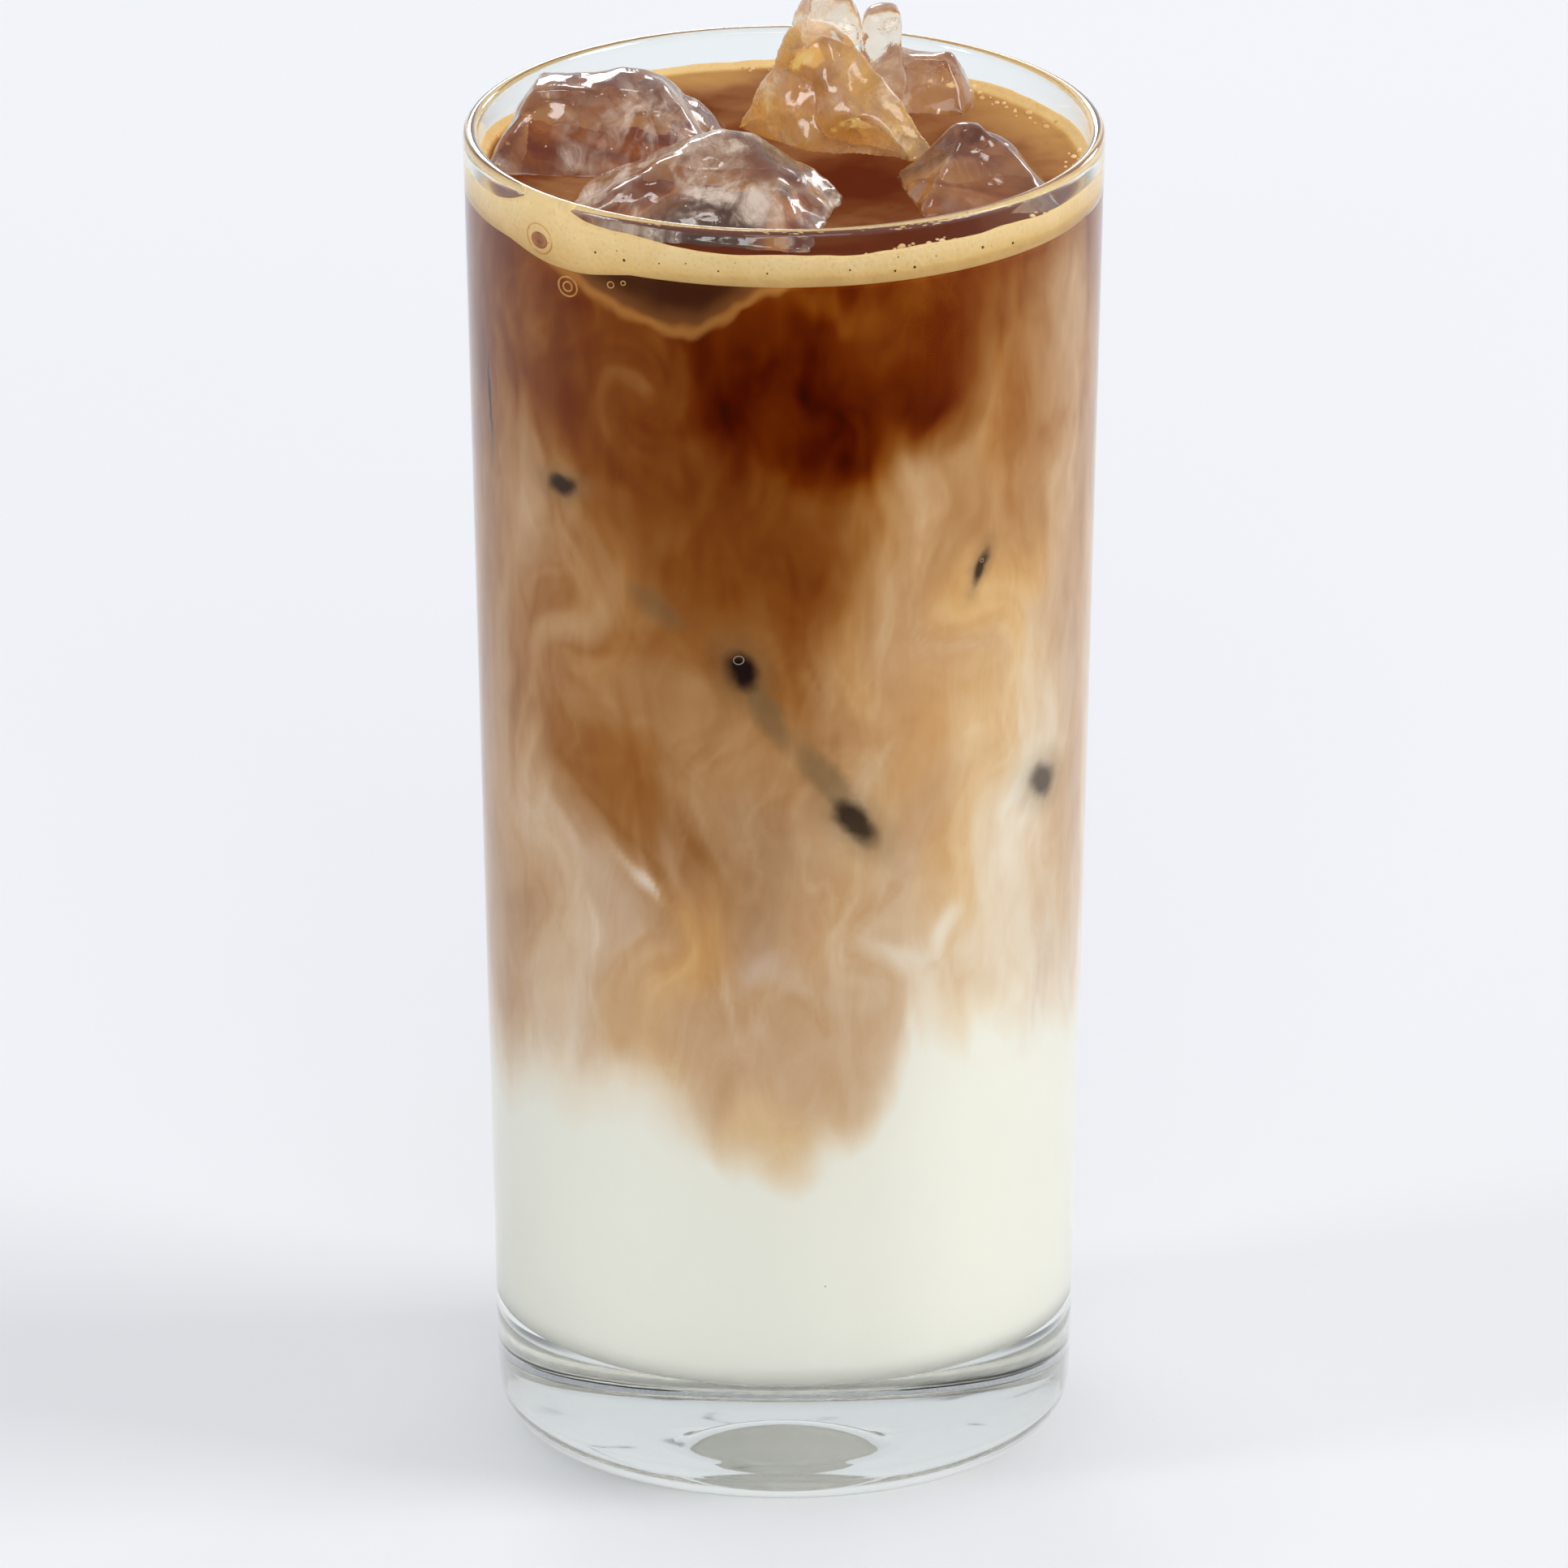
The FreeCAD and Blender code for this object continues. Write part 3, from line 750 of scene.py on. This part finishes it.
def buildDrink():
    outline, columns = drinkOutline(), drinkShape["columns"]
    turn = np.arange(columns) * 2 * math.pi / columns - math.pi / 2
    radii, heights = np.array(outline).T
    x = np.append(np.outer(radii, np.cos(turn)).ravel(), [0, 0])
    y = np.append(np.outer(radii, np.sin(turn)).ravel(), [0, 0])
    z = np.append(np.repeat(heights, columns), [heights[0], heights[-1]])
    faces = turnedFaces(len(outline), columns)
    piece = meshObject("marbledDrink", np.stack([x, y, z], 1) * mm, faces, marbledDrink())
    coffee, warmth = marbling(x, y - 1e-6, z)  # so that the poles have a turn too
    saveAttribute(piece.data, "coffee", coffee)
    saveAttribute(piece.data, "warmth", warmth)
    saveAttribute(piece.data, "patch", patchDepth(np.degrees(np.arctan2(x, -y)), z))
    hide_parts("milk", "latte", "espresso")
    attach(piece, "root")
    print("drink:", len(faces), "faces")


cremaShape = {
    "intoWall": 0.22, "columns": 360, "sideRows": 7,
    "edge": 147.95, "sag": 2.0, "rightRise": 0.4, "backDrop": 0.5, "waver": 0.35,
    "creep": 1.3, "leftSmear": 2.6, "frontSmear": 0.8, "creepWaver": 0.45,
    "under": 144.5, "deepestDent": 4.0, "lowestDent": 142.5, "intoIce": 1.2,
}


def cremaEdge(turn):  # height of the crema's lower edge at the wall
    c = cremaShape
    around = roundPoint(turn, 0 * turn, 1.0, 1.0)
    sag = c["sag"] * np.exp(-(apart(turn, -45) / 16) ** 2)
    rightRise = c["rightRise"] * ease(10, 40, apart(turn, 10)) * ease(170, 90, apart(turn, 10))
    waver = c["waver"] * clouds(around * 3.0, 3, 401)
    return c["edge"] - sag + rightRise + waver - c["backDrop"] * ease(90, 150, abs(turn))


def cremaCreep(turn):  # how far the crema climbs the wall above the surface
    c = cremaShape
    around = roundPoint(turn, 0 * turn, 1.0, 1.0)
    smear = c["leftSmear"] * np.exp(-(apart(turn, -50) / 9) ** 2)
    smear = smear + c["frontSmear"] * np.exp(-(apart(turn, -30) / 14) ** 2)
    lower = 0.5 * ease(80, 130, abs(turn))
    return c["creep"] - lower + smear + c["creepWaver"] * clouds(around * 4 + 3, 3, 421)


def iceDepths(x, y):  # the lowest ice at each point in mm, or none
    lowest = np.full(len(x), np.nan)
    for name in iceNames:
        low, high = [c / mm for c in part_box(name)]
        if low.z > surfaceHeight - 1:
            continue
        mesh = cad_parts[name].data
        places = [vert.co / mm for vert in mesh.vertices]
        tree = BVHTree.FromPolygons(places, [face.vertices[:] for face in mesh.polygons])
        near = np.flatnonzero((x > low.x) & (x < high.x) & (y > low.y) & (y < high.y))
        for i in near:
            hit = tree.ray_cast(Vector((x[i], y[i], low.z - 5)), Vector((0, 0, 1)))[0]
            if hit is not None and not lowest[i] < hit.z:
                lowest[i] = hit.z
    return lowest


def cremaFoam():
    material, tree = newMaterial("cremaFoam")
    place = objectPlace(tree)
    cell = put(tree, "ShaderNodeTexVoronoi", {"Vector": place, "Scale": 1500.0}).outputs["Distance"]
    cloud = noiseTexture(tree, place, 160.0, 6.0, 0.6, 0.8)["Fac"]
    patchy = math2(tree, "MULTIPLY", math2(tree, "SUBTRACT", cloud, 0.5), 0.2)
    foam = math2(tree, "ADD", attribute(tree, "foam"), patchy, clamp=True)
    foamColour = ramp(tree, foam, [
        (0.0, (96, 40, 20)), (.18, (112, 58, 30)), (.38, (150, 100, 64)),
        (.6, (190, 142, 84)), (.8, (228, 190, 126)), (1.0, (244, 216, 164)),
    ])
    pores = mapRange(tree, cell, 0.0, 0.35, 0.86, 1.0)
    pored = mixColour(tree, 1.0, foamColour, pores, "MULTIPLY")
    thick = mapRange(tree, foam, 0.5, 0.9)
    relief = math2(tree, "MULTIPLY", cell, thick)
    finishMaterial(tree, principled(tree, {
        "Base Color": mixColour(tree, thick, foamColour, pored),
        "Roughness": mapRange(tree, foam, 0.25, 0.6, 0.10, 0.55), "IOR": 1.34, "Specular IOR Level": 0.0,
        "Normal": bumped(tree, relief, 0.25, 0.0003),
    }))
    return material


def dentUnderIce(x, y, z):  # how far the surface dips under the pieces of ice, in mm
    c = cremaShape
    lowest = iceDepths(x.ravel(), y.ravel())
    dip = np.clip(z - np.maximum(lowest + c["intoIce"], c["lowestDent"]), 0, c["deepestDent"])
    dent = np.where(np.isnan(lowest), 0.0, dip).reshape(x.shape)
    for _ in range(3):  # its sides ease in, inside the ice
        around4 = np.minimum(np.minimum(np.roll(dent, 1, 1), np.roll(dent, -1, 1)),
                             np.minimum(np.roll(dent, 1, 0), np.roll(dent, -1, 0)))
        dent = np.minimum(dent, around4 + 0.9)
    dent[0] = 0
    return dent


# Foam on the top face: a ring at the wall, patches behind and on the right, tan drink between the ice.
def foamOnTop(x, y, around, inside, flat, dent):
    bent = flat + 2.5 * clouds(flat / 7, 3, 491)[:, None]
    foam = 0.29 + 0.28 * clouds(bent / 10, 4, 471, 0.55)
    ring = 1 - ease(0.5, 1.5, inside)
    backRight = np.exp(-(apart(around, 120) / 34) ** 2) * ease(13, 1, inside)
    backLeft = np.exp(-(apart(around, -160) / 24) ** 2) * ease(10, 1, inside)
    frontDark = np.exp(-(apart(around, 8) / 55) ** 2) * ease(0.8, 1.8, inside) * ease(12, 5, inside)
    pool = np.exp(-((x - 6.5) / 7) ** 2 - ((y + 6) / 5.5) ** 2)
    foam = foam.reshape(x.shape) - 0.42 * frontDark - 0.42 * pool
    foam = foam + (0.62 - foam) * np.clip(backRight + backLeft, 0, 1) * 0.85
    shore = 0.5 + 0.2 * clouds(flat / 4, 3, 481).reshape(x.shape)
    foam = foam + (shore - foam) * 0.8 * ease(0.3, 1.5, dent)
    return foam + (0.86 - foam) * ring


def cremaTop(turn, radii):  # the top face: x, y, height and foam of its rings, from the wall inwards
    a = np.radians(turn)
    x, y = np.outer(radii, np.sin(a)), np.outer(radii, -np.cos(a))
    around = np.repeat(turn[None, :], len(radii), 0)
    inside = np.maximum(innerRadius(surfaceHeight) - np.repeat(radii[:, None], len(turn), 1), 0)
    creep = cremaCreep(around.ravel()).reshape(x.shape)
    climb = creep * np.exp(-(inside / (0.22 + 0.5 * np.exp(-inside * 0.4))) ** 1.1)
    flat = np.stack([x.ravel(), y.ravel(), 0 * x.ravel()], 1)
    ripple = 0.16 * clouds(flat / 5, 3, 451) + 0.10 * clouds(flat / 1.6, 3, 461)
    z = surfaceHeight - 0.1 + climb.ravel() + ripple * ease(0, 2, inside.ravel())
    dent = dentUnderIce(x, y, z)
    foam = foamOnTop(x, y, around, inside, flat, dent)
    return x.ravel(), y.ravel(), z - dent.ravel(), foam.ravel()


def cremaSkirt(turn, first, wall):  # the rows below the top face: the hidden underside, then up the wall
    c = cremaShape
    a = np.radians(turn)
    ringX, ringY = np.sin(a), -np.cos(a)
    edge = cremaEdge(turn)
    rows = []
    for reach, drop in ((6, 4), (18, 4), (wall - 4, 1.5), (wall - 1.2, 0.5)):
        level = np.minimum(edge - drop * 0.2, c["under"] + 0 * edge - drop * 0.8)
        rows.append((reach * ringX, reach * ringY, level, np.full(len(turn), 0.6)))
    for k in range(c["sideRows"], 0, -1):
        level = first + (edge - first) * k / c["sideRows"]
        reach = innerRadius(level) + c["intoWall"]
        foam = np.full(len(turn), 0.95 - 0.2 * (k / c["sideRows"]) ** 2)
        rows.append((reach * ringX, reach * ringY, level, foam))
    return rows


def buildCrema():
    columns = cremaShape["columns"]
    wall = innerRadius(surfaceHeight) + cremaShape["intoWall"]
    turn = apart(np.degrees(np.arange(columns) * 2 * math.pi / columns), 0)
    # rings closer together where the crema climbs the wall
    near = [wall - inset for inset in (0.001, 0.12, 0.28, 0.45, 0.62, 0.8, 1.05, 1.4, 1.9)]
    radii = np.array(near + list(np.arange(wall - 2.45, 0.7, -0.55)))
    top = cremaTop(turn, radii)
    skirt = cremaSkirt(turn, top[2][:columns], wall)
    poles = ([0, 0], [0, 0], [skirt[0][2].mean(), top[2][-columns:].mean()], [0.5, 0.4])
    parts = zip(zip(*skirt), top, poles)
    x, y, z, foam = [np.concatenate([*rows, face, ends]) for rows, face, ends in parts]
    faces = turnedFaces(len(skirt) + len(radii), columns)
    piece = meshObject("cremaLayer", np.stack([x, y, z], 1) * mm, faces, cremaFoam())
    saveAttribute(piece.data, "foam", foam)
    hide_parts("crema")
    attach(piece, "root")
    print("crema:", len(faces), "faces")
    return piece


iceLook = {"voxel": 0.48, "scoop": 0.7, "ridge": 0.28, "ripple": 0.06, "wallGap": 0.12}

# How each piece looks: smoothing passes, frost, coffee stain with painted shade, golden film.
iceFinish = {
    "ice_back": (5, 0.60, 0.25, 0.10), "ice_centre": (4, 0.75, 0.10, 1.30),
    "ice_chip": (5, 0.75, 0.00, 0.25), "ice_front": (4, 0.95, 0.75, 0.10),
    "ice_left": (6, 0.60, 1.00, 0.04), "ice_right": (3, 0.24, 1.30, 0.12),
    "ice_top": (5, 0.75, 0.00, 0.30),
}


def meltedIce():
    material, tree = newMaterial("meltedIce")
    place = objectPlace(tree)
    cloud = noiseTexture(tree, place, 130.0, 5.0, 0.6, 0.8)["Fac"]
    streak = put(tree, "ShaderNodeMapping", {
        "Vector": place, "Rotation": (0.5, 0.9, 0.3), "Scale": (1, 0.22, 1),
    })
    crack = noiseTexture(tree, streak.outputs[0], 380.0, 4.0, 0.65, 1.2)["Fac"]
    dense, thin = [mapRange(tree, cloud, *ends, smooth=True) for ends in ((0.36, 0.52), (0.70, 0.45))]
    stainAndShade = math2(tree, "MULTIPLY", attribute(tree, "stainAndShade"), dense)
    film = math2(tree, "MULTIPLY", attribute(tree, "film"), thin)
    # coffee stain, with painted shade along crests and on faces turned away from the front
    tint = mixColour(tree, stainAndShade, srgb(255, 254, 252), srgb(142, 92, 66))
    tint = mixColour(tree, film, tint, srgb(246, 208, 120))
    waves = noiseTexture(tree, place, 240.0, 2.0)["Fac"]
    relief = math2(tree, "ADD", waves, math2(tree, "MULTIPLY", crack, 0.5))
    normal = bumped(tree, relief, 0.24, 0.0006)
    clear = principled(tree, {
        "Base Color": tint, "Roughness": 0.02, "IOR": 1.31, "Transmission Weight": 1.0, "Normal": normal,
        "Coat Weight": 0.5, "Coat IOR": 1.6, "Coat Roughness": 0.03,
    })
    milky = mixColour(tree, crack, srgb(176, 132, 100), srgb(248, 234, 220))
    milky = mixColour(tree, math2(tree, "MULTIPLY", film, 0.9), milky, srgb(238, 198, 116))
    frost = principled(tree, {"Base Color": milky, "Roughness": 0.3, "IOR": 1.31, "Normal": normal})
    blend = math2(tree, "ADD", math2(tree, "MULTIPLY", cloud, 0.8), math2(tree, "MULTIPLY", crack, 0.35))
    veil = mapRange(tree, blend, 0.50, 0.74, 0.0, 0.85, smooth=True)
    veil = math2(tree, "MULTIPLY", veil, attribute(tree, "frost"))
    veil = math2(tree, "ADD", veil, math2(tree, "MULTIPLY", film, 0.30), clamp=True)
    mix = put(tree, "ShaderNodeMixShader", {0: veil, 1: clear, 2: frost})
    finishMaterial(tree, clearShadow(tree, mix.outputs[0], (0.95, 0.92, 0.89, 1.0)))
    return material


def pointValues(mesh, kind):
    values = np.zeros(len(mesh.vertices) * 3)
    mesh.vertices.foreach_get(kind, values)
    return values.reshape(-1, 3)


def edgeSharpness(mesh):  # how far each point stands above its neighbours, smoothed: high along ridges
    count = len(mesh.vertices)
    place, normal = pointValues(mesh, "co") / mm, pointValues(mesh, "normal")
    edges = np.zeros(len(mesh.edges) * 2, np.int32)
    mesh.edges.foreach_get("vertices", edges)
    a, b = edges.reshape(-1, 2).T
    degree = np.bincount(a, minlength=count) + np.bincount(b, minlength=count)
    step = place[b] - place[a]
    above, below = -(step * normal[a]).sum(1), (step * normal[b]).sum(1)
    sharp = np.bincount(a, above, count) + np.bincount(b, below, count)
    sharp = sharp / degree / iceLook["voxel"]
    for _ in range(3):
        spread = np.bincount(a, sharp[b], count) + np.bincount(b, sharp[a], count)
        sharp = 0.4 * sharp + 0.6 * spread / degree
    return sharp


def remeshedCopy(name):
    bm = bmesh.new()
    bm.from_mesh(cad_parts[name].data)
    bmesh.ops.remove_doubles(bm, verts=bm.verts, dist=1e-6)
    piece = linked(name + "_melted", meshFrom(name + "_melted", bm))
    remesh = piece.modifiers.new("remesh", "REMESH")
    remesh.mode, remesh.voxel_size = "VOXEL", iceLook["voxel"] * mm
    bakeModifiers(piece)
    return piece


def meltSurface(mesh, passes, seed):  # softens it, then scoops hollows and raises ridges, inside the glass
    bm = bmesh.new()
    bm.from_mesh(mesh)
    everyWay = {"use_axis_x": True, "use_axis_y": True, "use_axis_z": True}
    for _ in range(passes):
        bmesh.ops.smooth_vert(bm, verts=bm.verts, factor=0.5, **everyWay)
    bm.normal_update()
    points = np.array([v.co for v in bm.verts]) / mm
    normals = np.array([v.normal for v in bm.verts])
    scoops = np.abs(clouds(points / 8.5, 2, seed)) - 0.22
    ridges = clouds(points / 4.2, 2, seed + 5)
    ripples = clouds(points / 1.3, 2, seed + 9)
    shift = iceLook["scoop"] * scoops * 2 + iceLook["ridge"] * ridges + iceLook["ripple"] * ripples
    points = points + normals * shift[:, None]
    reach = np.hypot(points[:, 0], points[:, 1])
    limit = innerRadius(points[:, 2]) - iceLook["wallGap"]
    points[:, :2] *= np.minimum(1, limit / np.maximum(reach, 1e-6))[:, None]
    for vert, place in zip(bm.verts, points):
        vert.co = Vector(place) * mm
    bm.to_mesh(mesh)
    bm.free()
    return points


def meltedCopy(name, material):
    passes, frosted, stainedShaded, filmed = iceFinish[name]
    seed = 600 + 20 * iceNames.index(name)
    piece = remeshedCopy(name)
    mesh = piece.data
    points = meltSurface(mesh, passes, seed)
    mesh.polygons.foreach_set("use_smooth", [True] * len(mesh.polygons))
    mesh.materials.clear()
    mesh.materials.append(material)
    crest = ease(0.06, 0.30, edgeSharpness(mesh))
    facingBack = ease(0.0, 0.6, pointValues(mesh, "normal")[:, 1])
    # painted shade: darker along crests and on faces turned away from the front, above the drink
    backFacingShade = facingBack * ease(surfaceHeight + 0.5, surfaceHeight + 4, points[:, 2])
    frost = frosted * (0.8 + 1.9 * clouds(points / 7, 3, seed + 12)) + 0.15 * crest
    stainAndShade = stainedShaded * (0.4 + 1.9 * clouds(points / 6, 3, seed + 14) + 0.9 * backFacingShade + 1.2 * crest)
    film = filmed * (1.1 + 1.0 * clouds(points / 6, 3, seed + 16))
    for label, values in (("frost", frost), ("stainAndShade", stainAndShade), ("film", film)):
        saveAttribute(mesh, label, np.clip(values, 0, 1))
    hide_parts(name)
    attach(piece, "root")
    return piece


def buildIce():
    material = meltedIce()
    pieces = [meltedCopy(name, material) for name in iceNames]
    print("ice:", len(pieces), "pieces,", sum(len(piece.data.polygons) for piece in pieces), "faces")
    return pieces


# Beads per square metre, least distance and sizes in metres.
scatterSettings = {
    "cremaSpecks": {
        "Density": 1.2e5, "Spacing": 0.0010, "Smallest": 0.00006, "Largest": 0.00019,
        "Flatness": 0.5, "Seed": 4,
    },
    "foamBubbles": {
        "Density": 6.0e5, "Spacing": 0.0006, "Smallest": 0.00010, "Largest": 0.00042,
        "Flatness": 0.8, "Seed": 11,
    },
    "milkSpecks": {
        "Density": 900.0, "Spacing": 0.006, "Smallest": 0.00009, "Largest": 0.00017,
        "Flatness": 0.6, "Seed": 3,
    },
    "iceBubbles": {
        "Density": 1.6e4, "Spacing": 0.0018, "Smallest": 0.00005, "Largest": 0.00016,
        "Flatness": 1.0, "Seed": 8,
    },
}


def scatterTree():
    tree = bpy.data.node_groups.new("scatteredBeads", "GeometryNodeTree")
    sizes = [(name, "Float") for name in ("Density", "Spacing", "Smallest", "Largest", "Flatness")]
    inputs = [("Geometry", "Geometry"), *sizes, ("Seed", "Int"), ("Material", "Material")]
    groupSockets(tree, inputs, ("Geometry", "Geometry"))
    given = put(tree, "NodeGroupInput").outputs
    points = put(tree, "GeometryNodeDistributePointsOnFaces", {
        "Mesh": given["Geometry"], "Distance Min": given["Spacing"], "Density Max": given["Density"],
        "Seed": given["Seed"],
    }, distribute_method="POISSON").outputs
    size = put(tree, "FunctionNodeRandomValue", {
        2: given["Smallest"], 3: given["Largest"], "Seed": given["Seed"],
    }, data_type="FLOAT").outputs[1]
    thickness = math2(tree, "MULTIPLY", size, given["Flatness"])
    scale = put(tree, "ShaderNodeCombineXYZ", {0: size, 1: size, 2: thickness})
    bead = put(tree, "GeometryNodeMeshIcoSphere", {"Radius": 1.0, "Subdivisions": 2})
    placed = put(tree, "GeometryNodeInstanceOnPoints", {
        "Points": points["Points"], "Instance": bead.outputs["Mesh"], "Rotation": points["Rotation"],
        "Scale": scale.outputs[0],
    })
    real = put(tree, "GeometryNodeRealizeInstances", {"Geometry": placed.outputs[0]})
    smooth = put(tree, "GeometryNodeSetShadeSmooth", {"Geometry": real.outputs[0]})
    painted = put(tree, "GeometryNodeSetMaterial", {
        "Geometry": smooth.outputs[0], "Material": given["Material"],
    })
    put(tree, "NodeGroupOutput", {"Geometry": painted.outputs[0]})
    return tree


def scatter(name, source, tree, material):
    piece = linked(name, source)
    modifier = piece.modifiers.new("beads", "NODES")
    modifier.node_group = tree
    values = dict(scatterSettings[name], Material=material)
    for item in tree.interface.items_tree:
        if item.in_out == "INPUT" and item.name in values:
            modifier[item.identifier] = values[item.name]
    bakeModifiers(piece)
    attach(piece, "root")
    print("scattered:", name, len(piece.data.polygons), "faces")


def beadMaterial(name, dark, light, roughness, scale=900.0):
    material, tree = newMaterial(name)
    cloud = noiseTexture(tree, objectPlace(tree), scale, 2.0)["Fac"]
    colour = mixColour(tree, mapRange(tree, cloud, 0.35, 0.65), srgb(*dark), srgb(*light))
    finishMaterial(tree, principled(tree, {"Base Color": colour, "Roughness": roughness, "IOR": 1.36}))
    return material


def bandMesh(name, turns, lowEdge, highEdge, outward):  # a strip round the wall to scatter on
    points, faces = [], []
    for k, turn in enumerate(turns):
        a = math.radians(turn)
        for height in (lowEdge(turn), highEdge(turn)):
            radius = (innerRadius(height) + outward) * mm
            points.append((math.sin(a) * radius, -math.cos(a) * radius, height * mm))
        if k:
            faces.append((2 * k - 2, 2 * k, 2 * k + 1, 2 * k - 1))
    mesh = bpy.data.meshes.new(name)
    mesh.from_pydata(points, [], faces)
    return mesh


def surfaceBand(crema):  # patches of the crema's top face near the wall, where bubbles gather
    bm = bmesh.new()
    bm.from_mesh(crema.data)
    wall = innerRadius(surfaceHeight)
    far = []
    for face in bm.faces:
        c = face.calc_center_median() / mm
        reach = math.hypot(c.x, c.y)
        turn = math.degrees(math.atan2(c.x, -c.y))
        patchy = math.sin(turn * 0.21 + 1.3) + math.sin(turn * 0.053 + 0.4)
        keep = face.normal.z > 0.7 and wall - 2.6 - 1.2 * patchy < reach < wall - 0.6 and patchy > -0.3
        if not keep:
            far.append(face)
    bmesh.ops.delete(bm, geom=far, context="FACES")
    return meshFrom("surfaceBand", bm)


def iceHeart(pieces):  # copies of the ice shrunk towards their middles, one inside another
    bm = bmesh.new()
    for piece in pieces:
        middle = sum((v.co for v in piece.data.vertices), Vector()) / len(piece.data.vertices)
        for share in (0.82, 0.55):
            first = len(bm.verts)
            bm.from_mesh(piece.data)
            bm.verts.ensure_lookup_table()
            for vert in bm.verts[first:]:
                vert.co = middle + (vert.co - middle) * share
    return meshFrom("iceHeart", bm)


def buildScattered(crema, icePieces):
    tree = scatterTree()
    around = np.linspace(-180, 180, 145)
    speck = beadMaterial("darkSpeck", (66, 38, 18), (96, 58, 30), 0.5)
    bubble = beadMaterial("foamBubble", (214, 166, 104), (244, 214, 162), 0.16)
    grey = beadMaterial("milkSpeck", (150, 142, 126), (188, 182, 168), 0.3)
    air = beadMaterial("iceAir", (236, 226, 216), (252, 248, 244), 0.2)
    side = bandMesh("cremaBand", around, lambda t: float(cremaEdge(np.array([t]))[0]) + 0.3,
                    lambda t: surfaceHeight + 0.3, cremaShape["intoWall"])
    low = bandMesh("milkBand", around, lambda t: floorHeight + 4, lambda t: milkHeight - 12,
                   drinkShape["intoWall"])
    scatter("cremaSpecks", side, tree, speck)
    scatter("foamBubbles", surfaceBand(crema), tree, bubble)
    scatter("milkSpecks", low, tree, grey)
    scatter("iceBubbles", iceHeart(icePieces), tree, air)


# Rings: turn, height, radius, thickness. Ovals: turn, height, half width, half height.
caughtBubbles = {
    "rings": [
        (-43.5, 143.9, 1.30, 0.13), (-43.5, 143.9, 0.62, 0.12), (-50.8, 148.5, 1.95, 0.12),
        (-33.5, 145.4, 0.40, 0.07), (-30.8, 145.9, 0.28, 0.06),
    ],
    # glints: pale rings that are painted highlights on tips of ice
    "glints": [(-8.6, 102.6, 0.55, 0.05), (40.3, 111.8, 0.22, 0.05)],
    "ovals": [(-50.8, 148.3, 1.35, 0.95)],
    "ringSteps": 28, "tubeSteps": 8, "ovalRows": 8, "ovalSteps": 24,
}


def onWall(turn, height, right, up, out):  # a point beside a place on the inner wall: offsets in mm
    a = math.radians(turn)
    radius = innerRadius(height) + drinkShape["intoWall"]
    centre = Vector((math.sin(a) * radius, -math.cos(a) * radius, height))
    side = Vector((math.cos(a), math.sin(a), 0))
    normal = Vector((math.sin(a), -math.cos(a), 0))
    bulge = out - right * right / (2 * radius)
    return (centre + side * right + Vector((0, 0, 1)) * up + normal * bulge) * mm


def ringsOnWall(name, rings, material):
    steps, tube = caughtBubbles["ringSteps"], caughtBubbles["tubeSteps"]
    points, faces = [], []
    for turn, height, radius, thick in rings:
        first = len(points)
        for i in range(steps):
            a = 2 * math.pi * i / steps
            for j in range(tube):
                b = 2 * math.pi * j / tube
                reach = radius * (1 + 0.06 * math.sin(2 * a + radius)) + thick * math.cos(b)
                right, up = reach * math.cos(a), reach * math.sin(a) * 0.92
                points.append(onWall(turn, height, right, up, 0.05 + thick * math.sin(b)))
        for i in range(steps):
            for j in range(tube):
                a, b = first + i * tube, first + (i + 1) % steps * tube
                n = (j + 1) % tube
                faces.append((a + j, b + j, b + n, a + n))
    return meshObject(name, points, faces, material)


def ovalsOnWall(name, ovals, material):
    rows, steps = caughtBubbles["ovalRows"], caughtBubbles["ovalSteps"]
    points, faces = [], []
    for turn, height, halfWidth, halfHeight in ovals:
        first = len(points)
        for i in range(1, rows):
            polar = math.pi * i / rows
            for j in range(steps):
                a = 2 * math.pi * j / steps
                right = halfWidth * math.sin(polar) * math.cos(a)
                up = halfHeight * math.sin(polar) * math.sin(a)
                points.append(onWall(turn, height, right, up, 0.12 + 0.14 * math.cos(polar)))
        points += [onWall(turn, height, 0, 0, 0.26), onWall(turn, height, 0, 0, -0.02)]
        for i in range(rows - 2):
            for j in range(steps):
                n = (j + 1) % steps
                a, b = first + i * steps, first + (i + 1) * steps
                faces.append((a + j, b + j, b + n, a + n))
        top, bottom = len(points) - 2, len(points) - 1
        last = first + (rows - 2) * steps
        for j in range(steps):
            n = (j + 1) % steps
            faces += [(top, first + j, first + n), (bottom, last + n, last + j)]
    return meshObject(name, points, faces, material)


def buildCaughtBubbles():
    golden = beadMaterial("bubbleRim", (196, 136, 66), (230, 178, 104), 0.2, 500.0)
    # pale colour for the painted highlight rings
    pale = beadMaterial("tipGlint", (176, 160, 140), (226, 216, 202), 0.2, 500.0)
    amber = beadMaterial("bubbleHeart", (134, 78, 40), (186, 122, 70), 0.15, 700.0)
    rings = ringsOnWall("bubbleRings", caughtBubbles["rings"], golden)
    glints = ringsOnWall("tipGlints", caughtBubbles["glints"], pale)
    hearts = ovalsOnWall("bubbleHearts", caughtBubbles["ovals"], amber)
    for piece in (rings, glints, hearts):
        bm = bmesh.new()
        bm.from_mesh(piece.data)
        bmesh.ops.recalc_face_normals(bm, faces=bm.faces)
        bm.to_mesh(piece.data)
        bm.free()
        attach(piece, "root")
    print("bubbles at the wall:", len(caughtBubbles["rings"]), "rings")


buildStage()
buildGlass()
buildDrink()
cremaPiece = buildCrema()
icePieces = buildIce()
buildScattered(cremaPiece, icePieces)
buildCaughtBubbles()
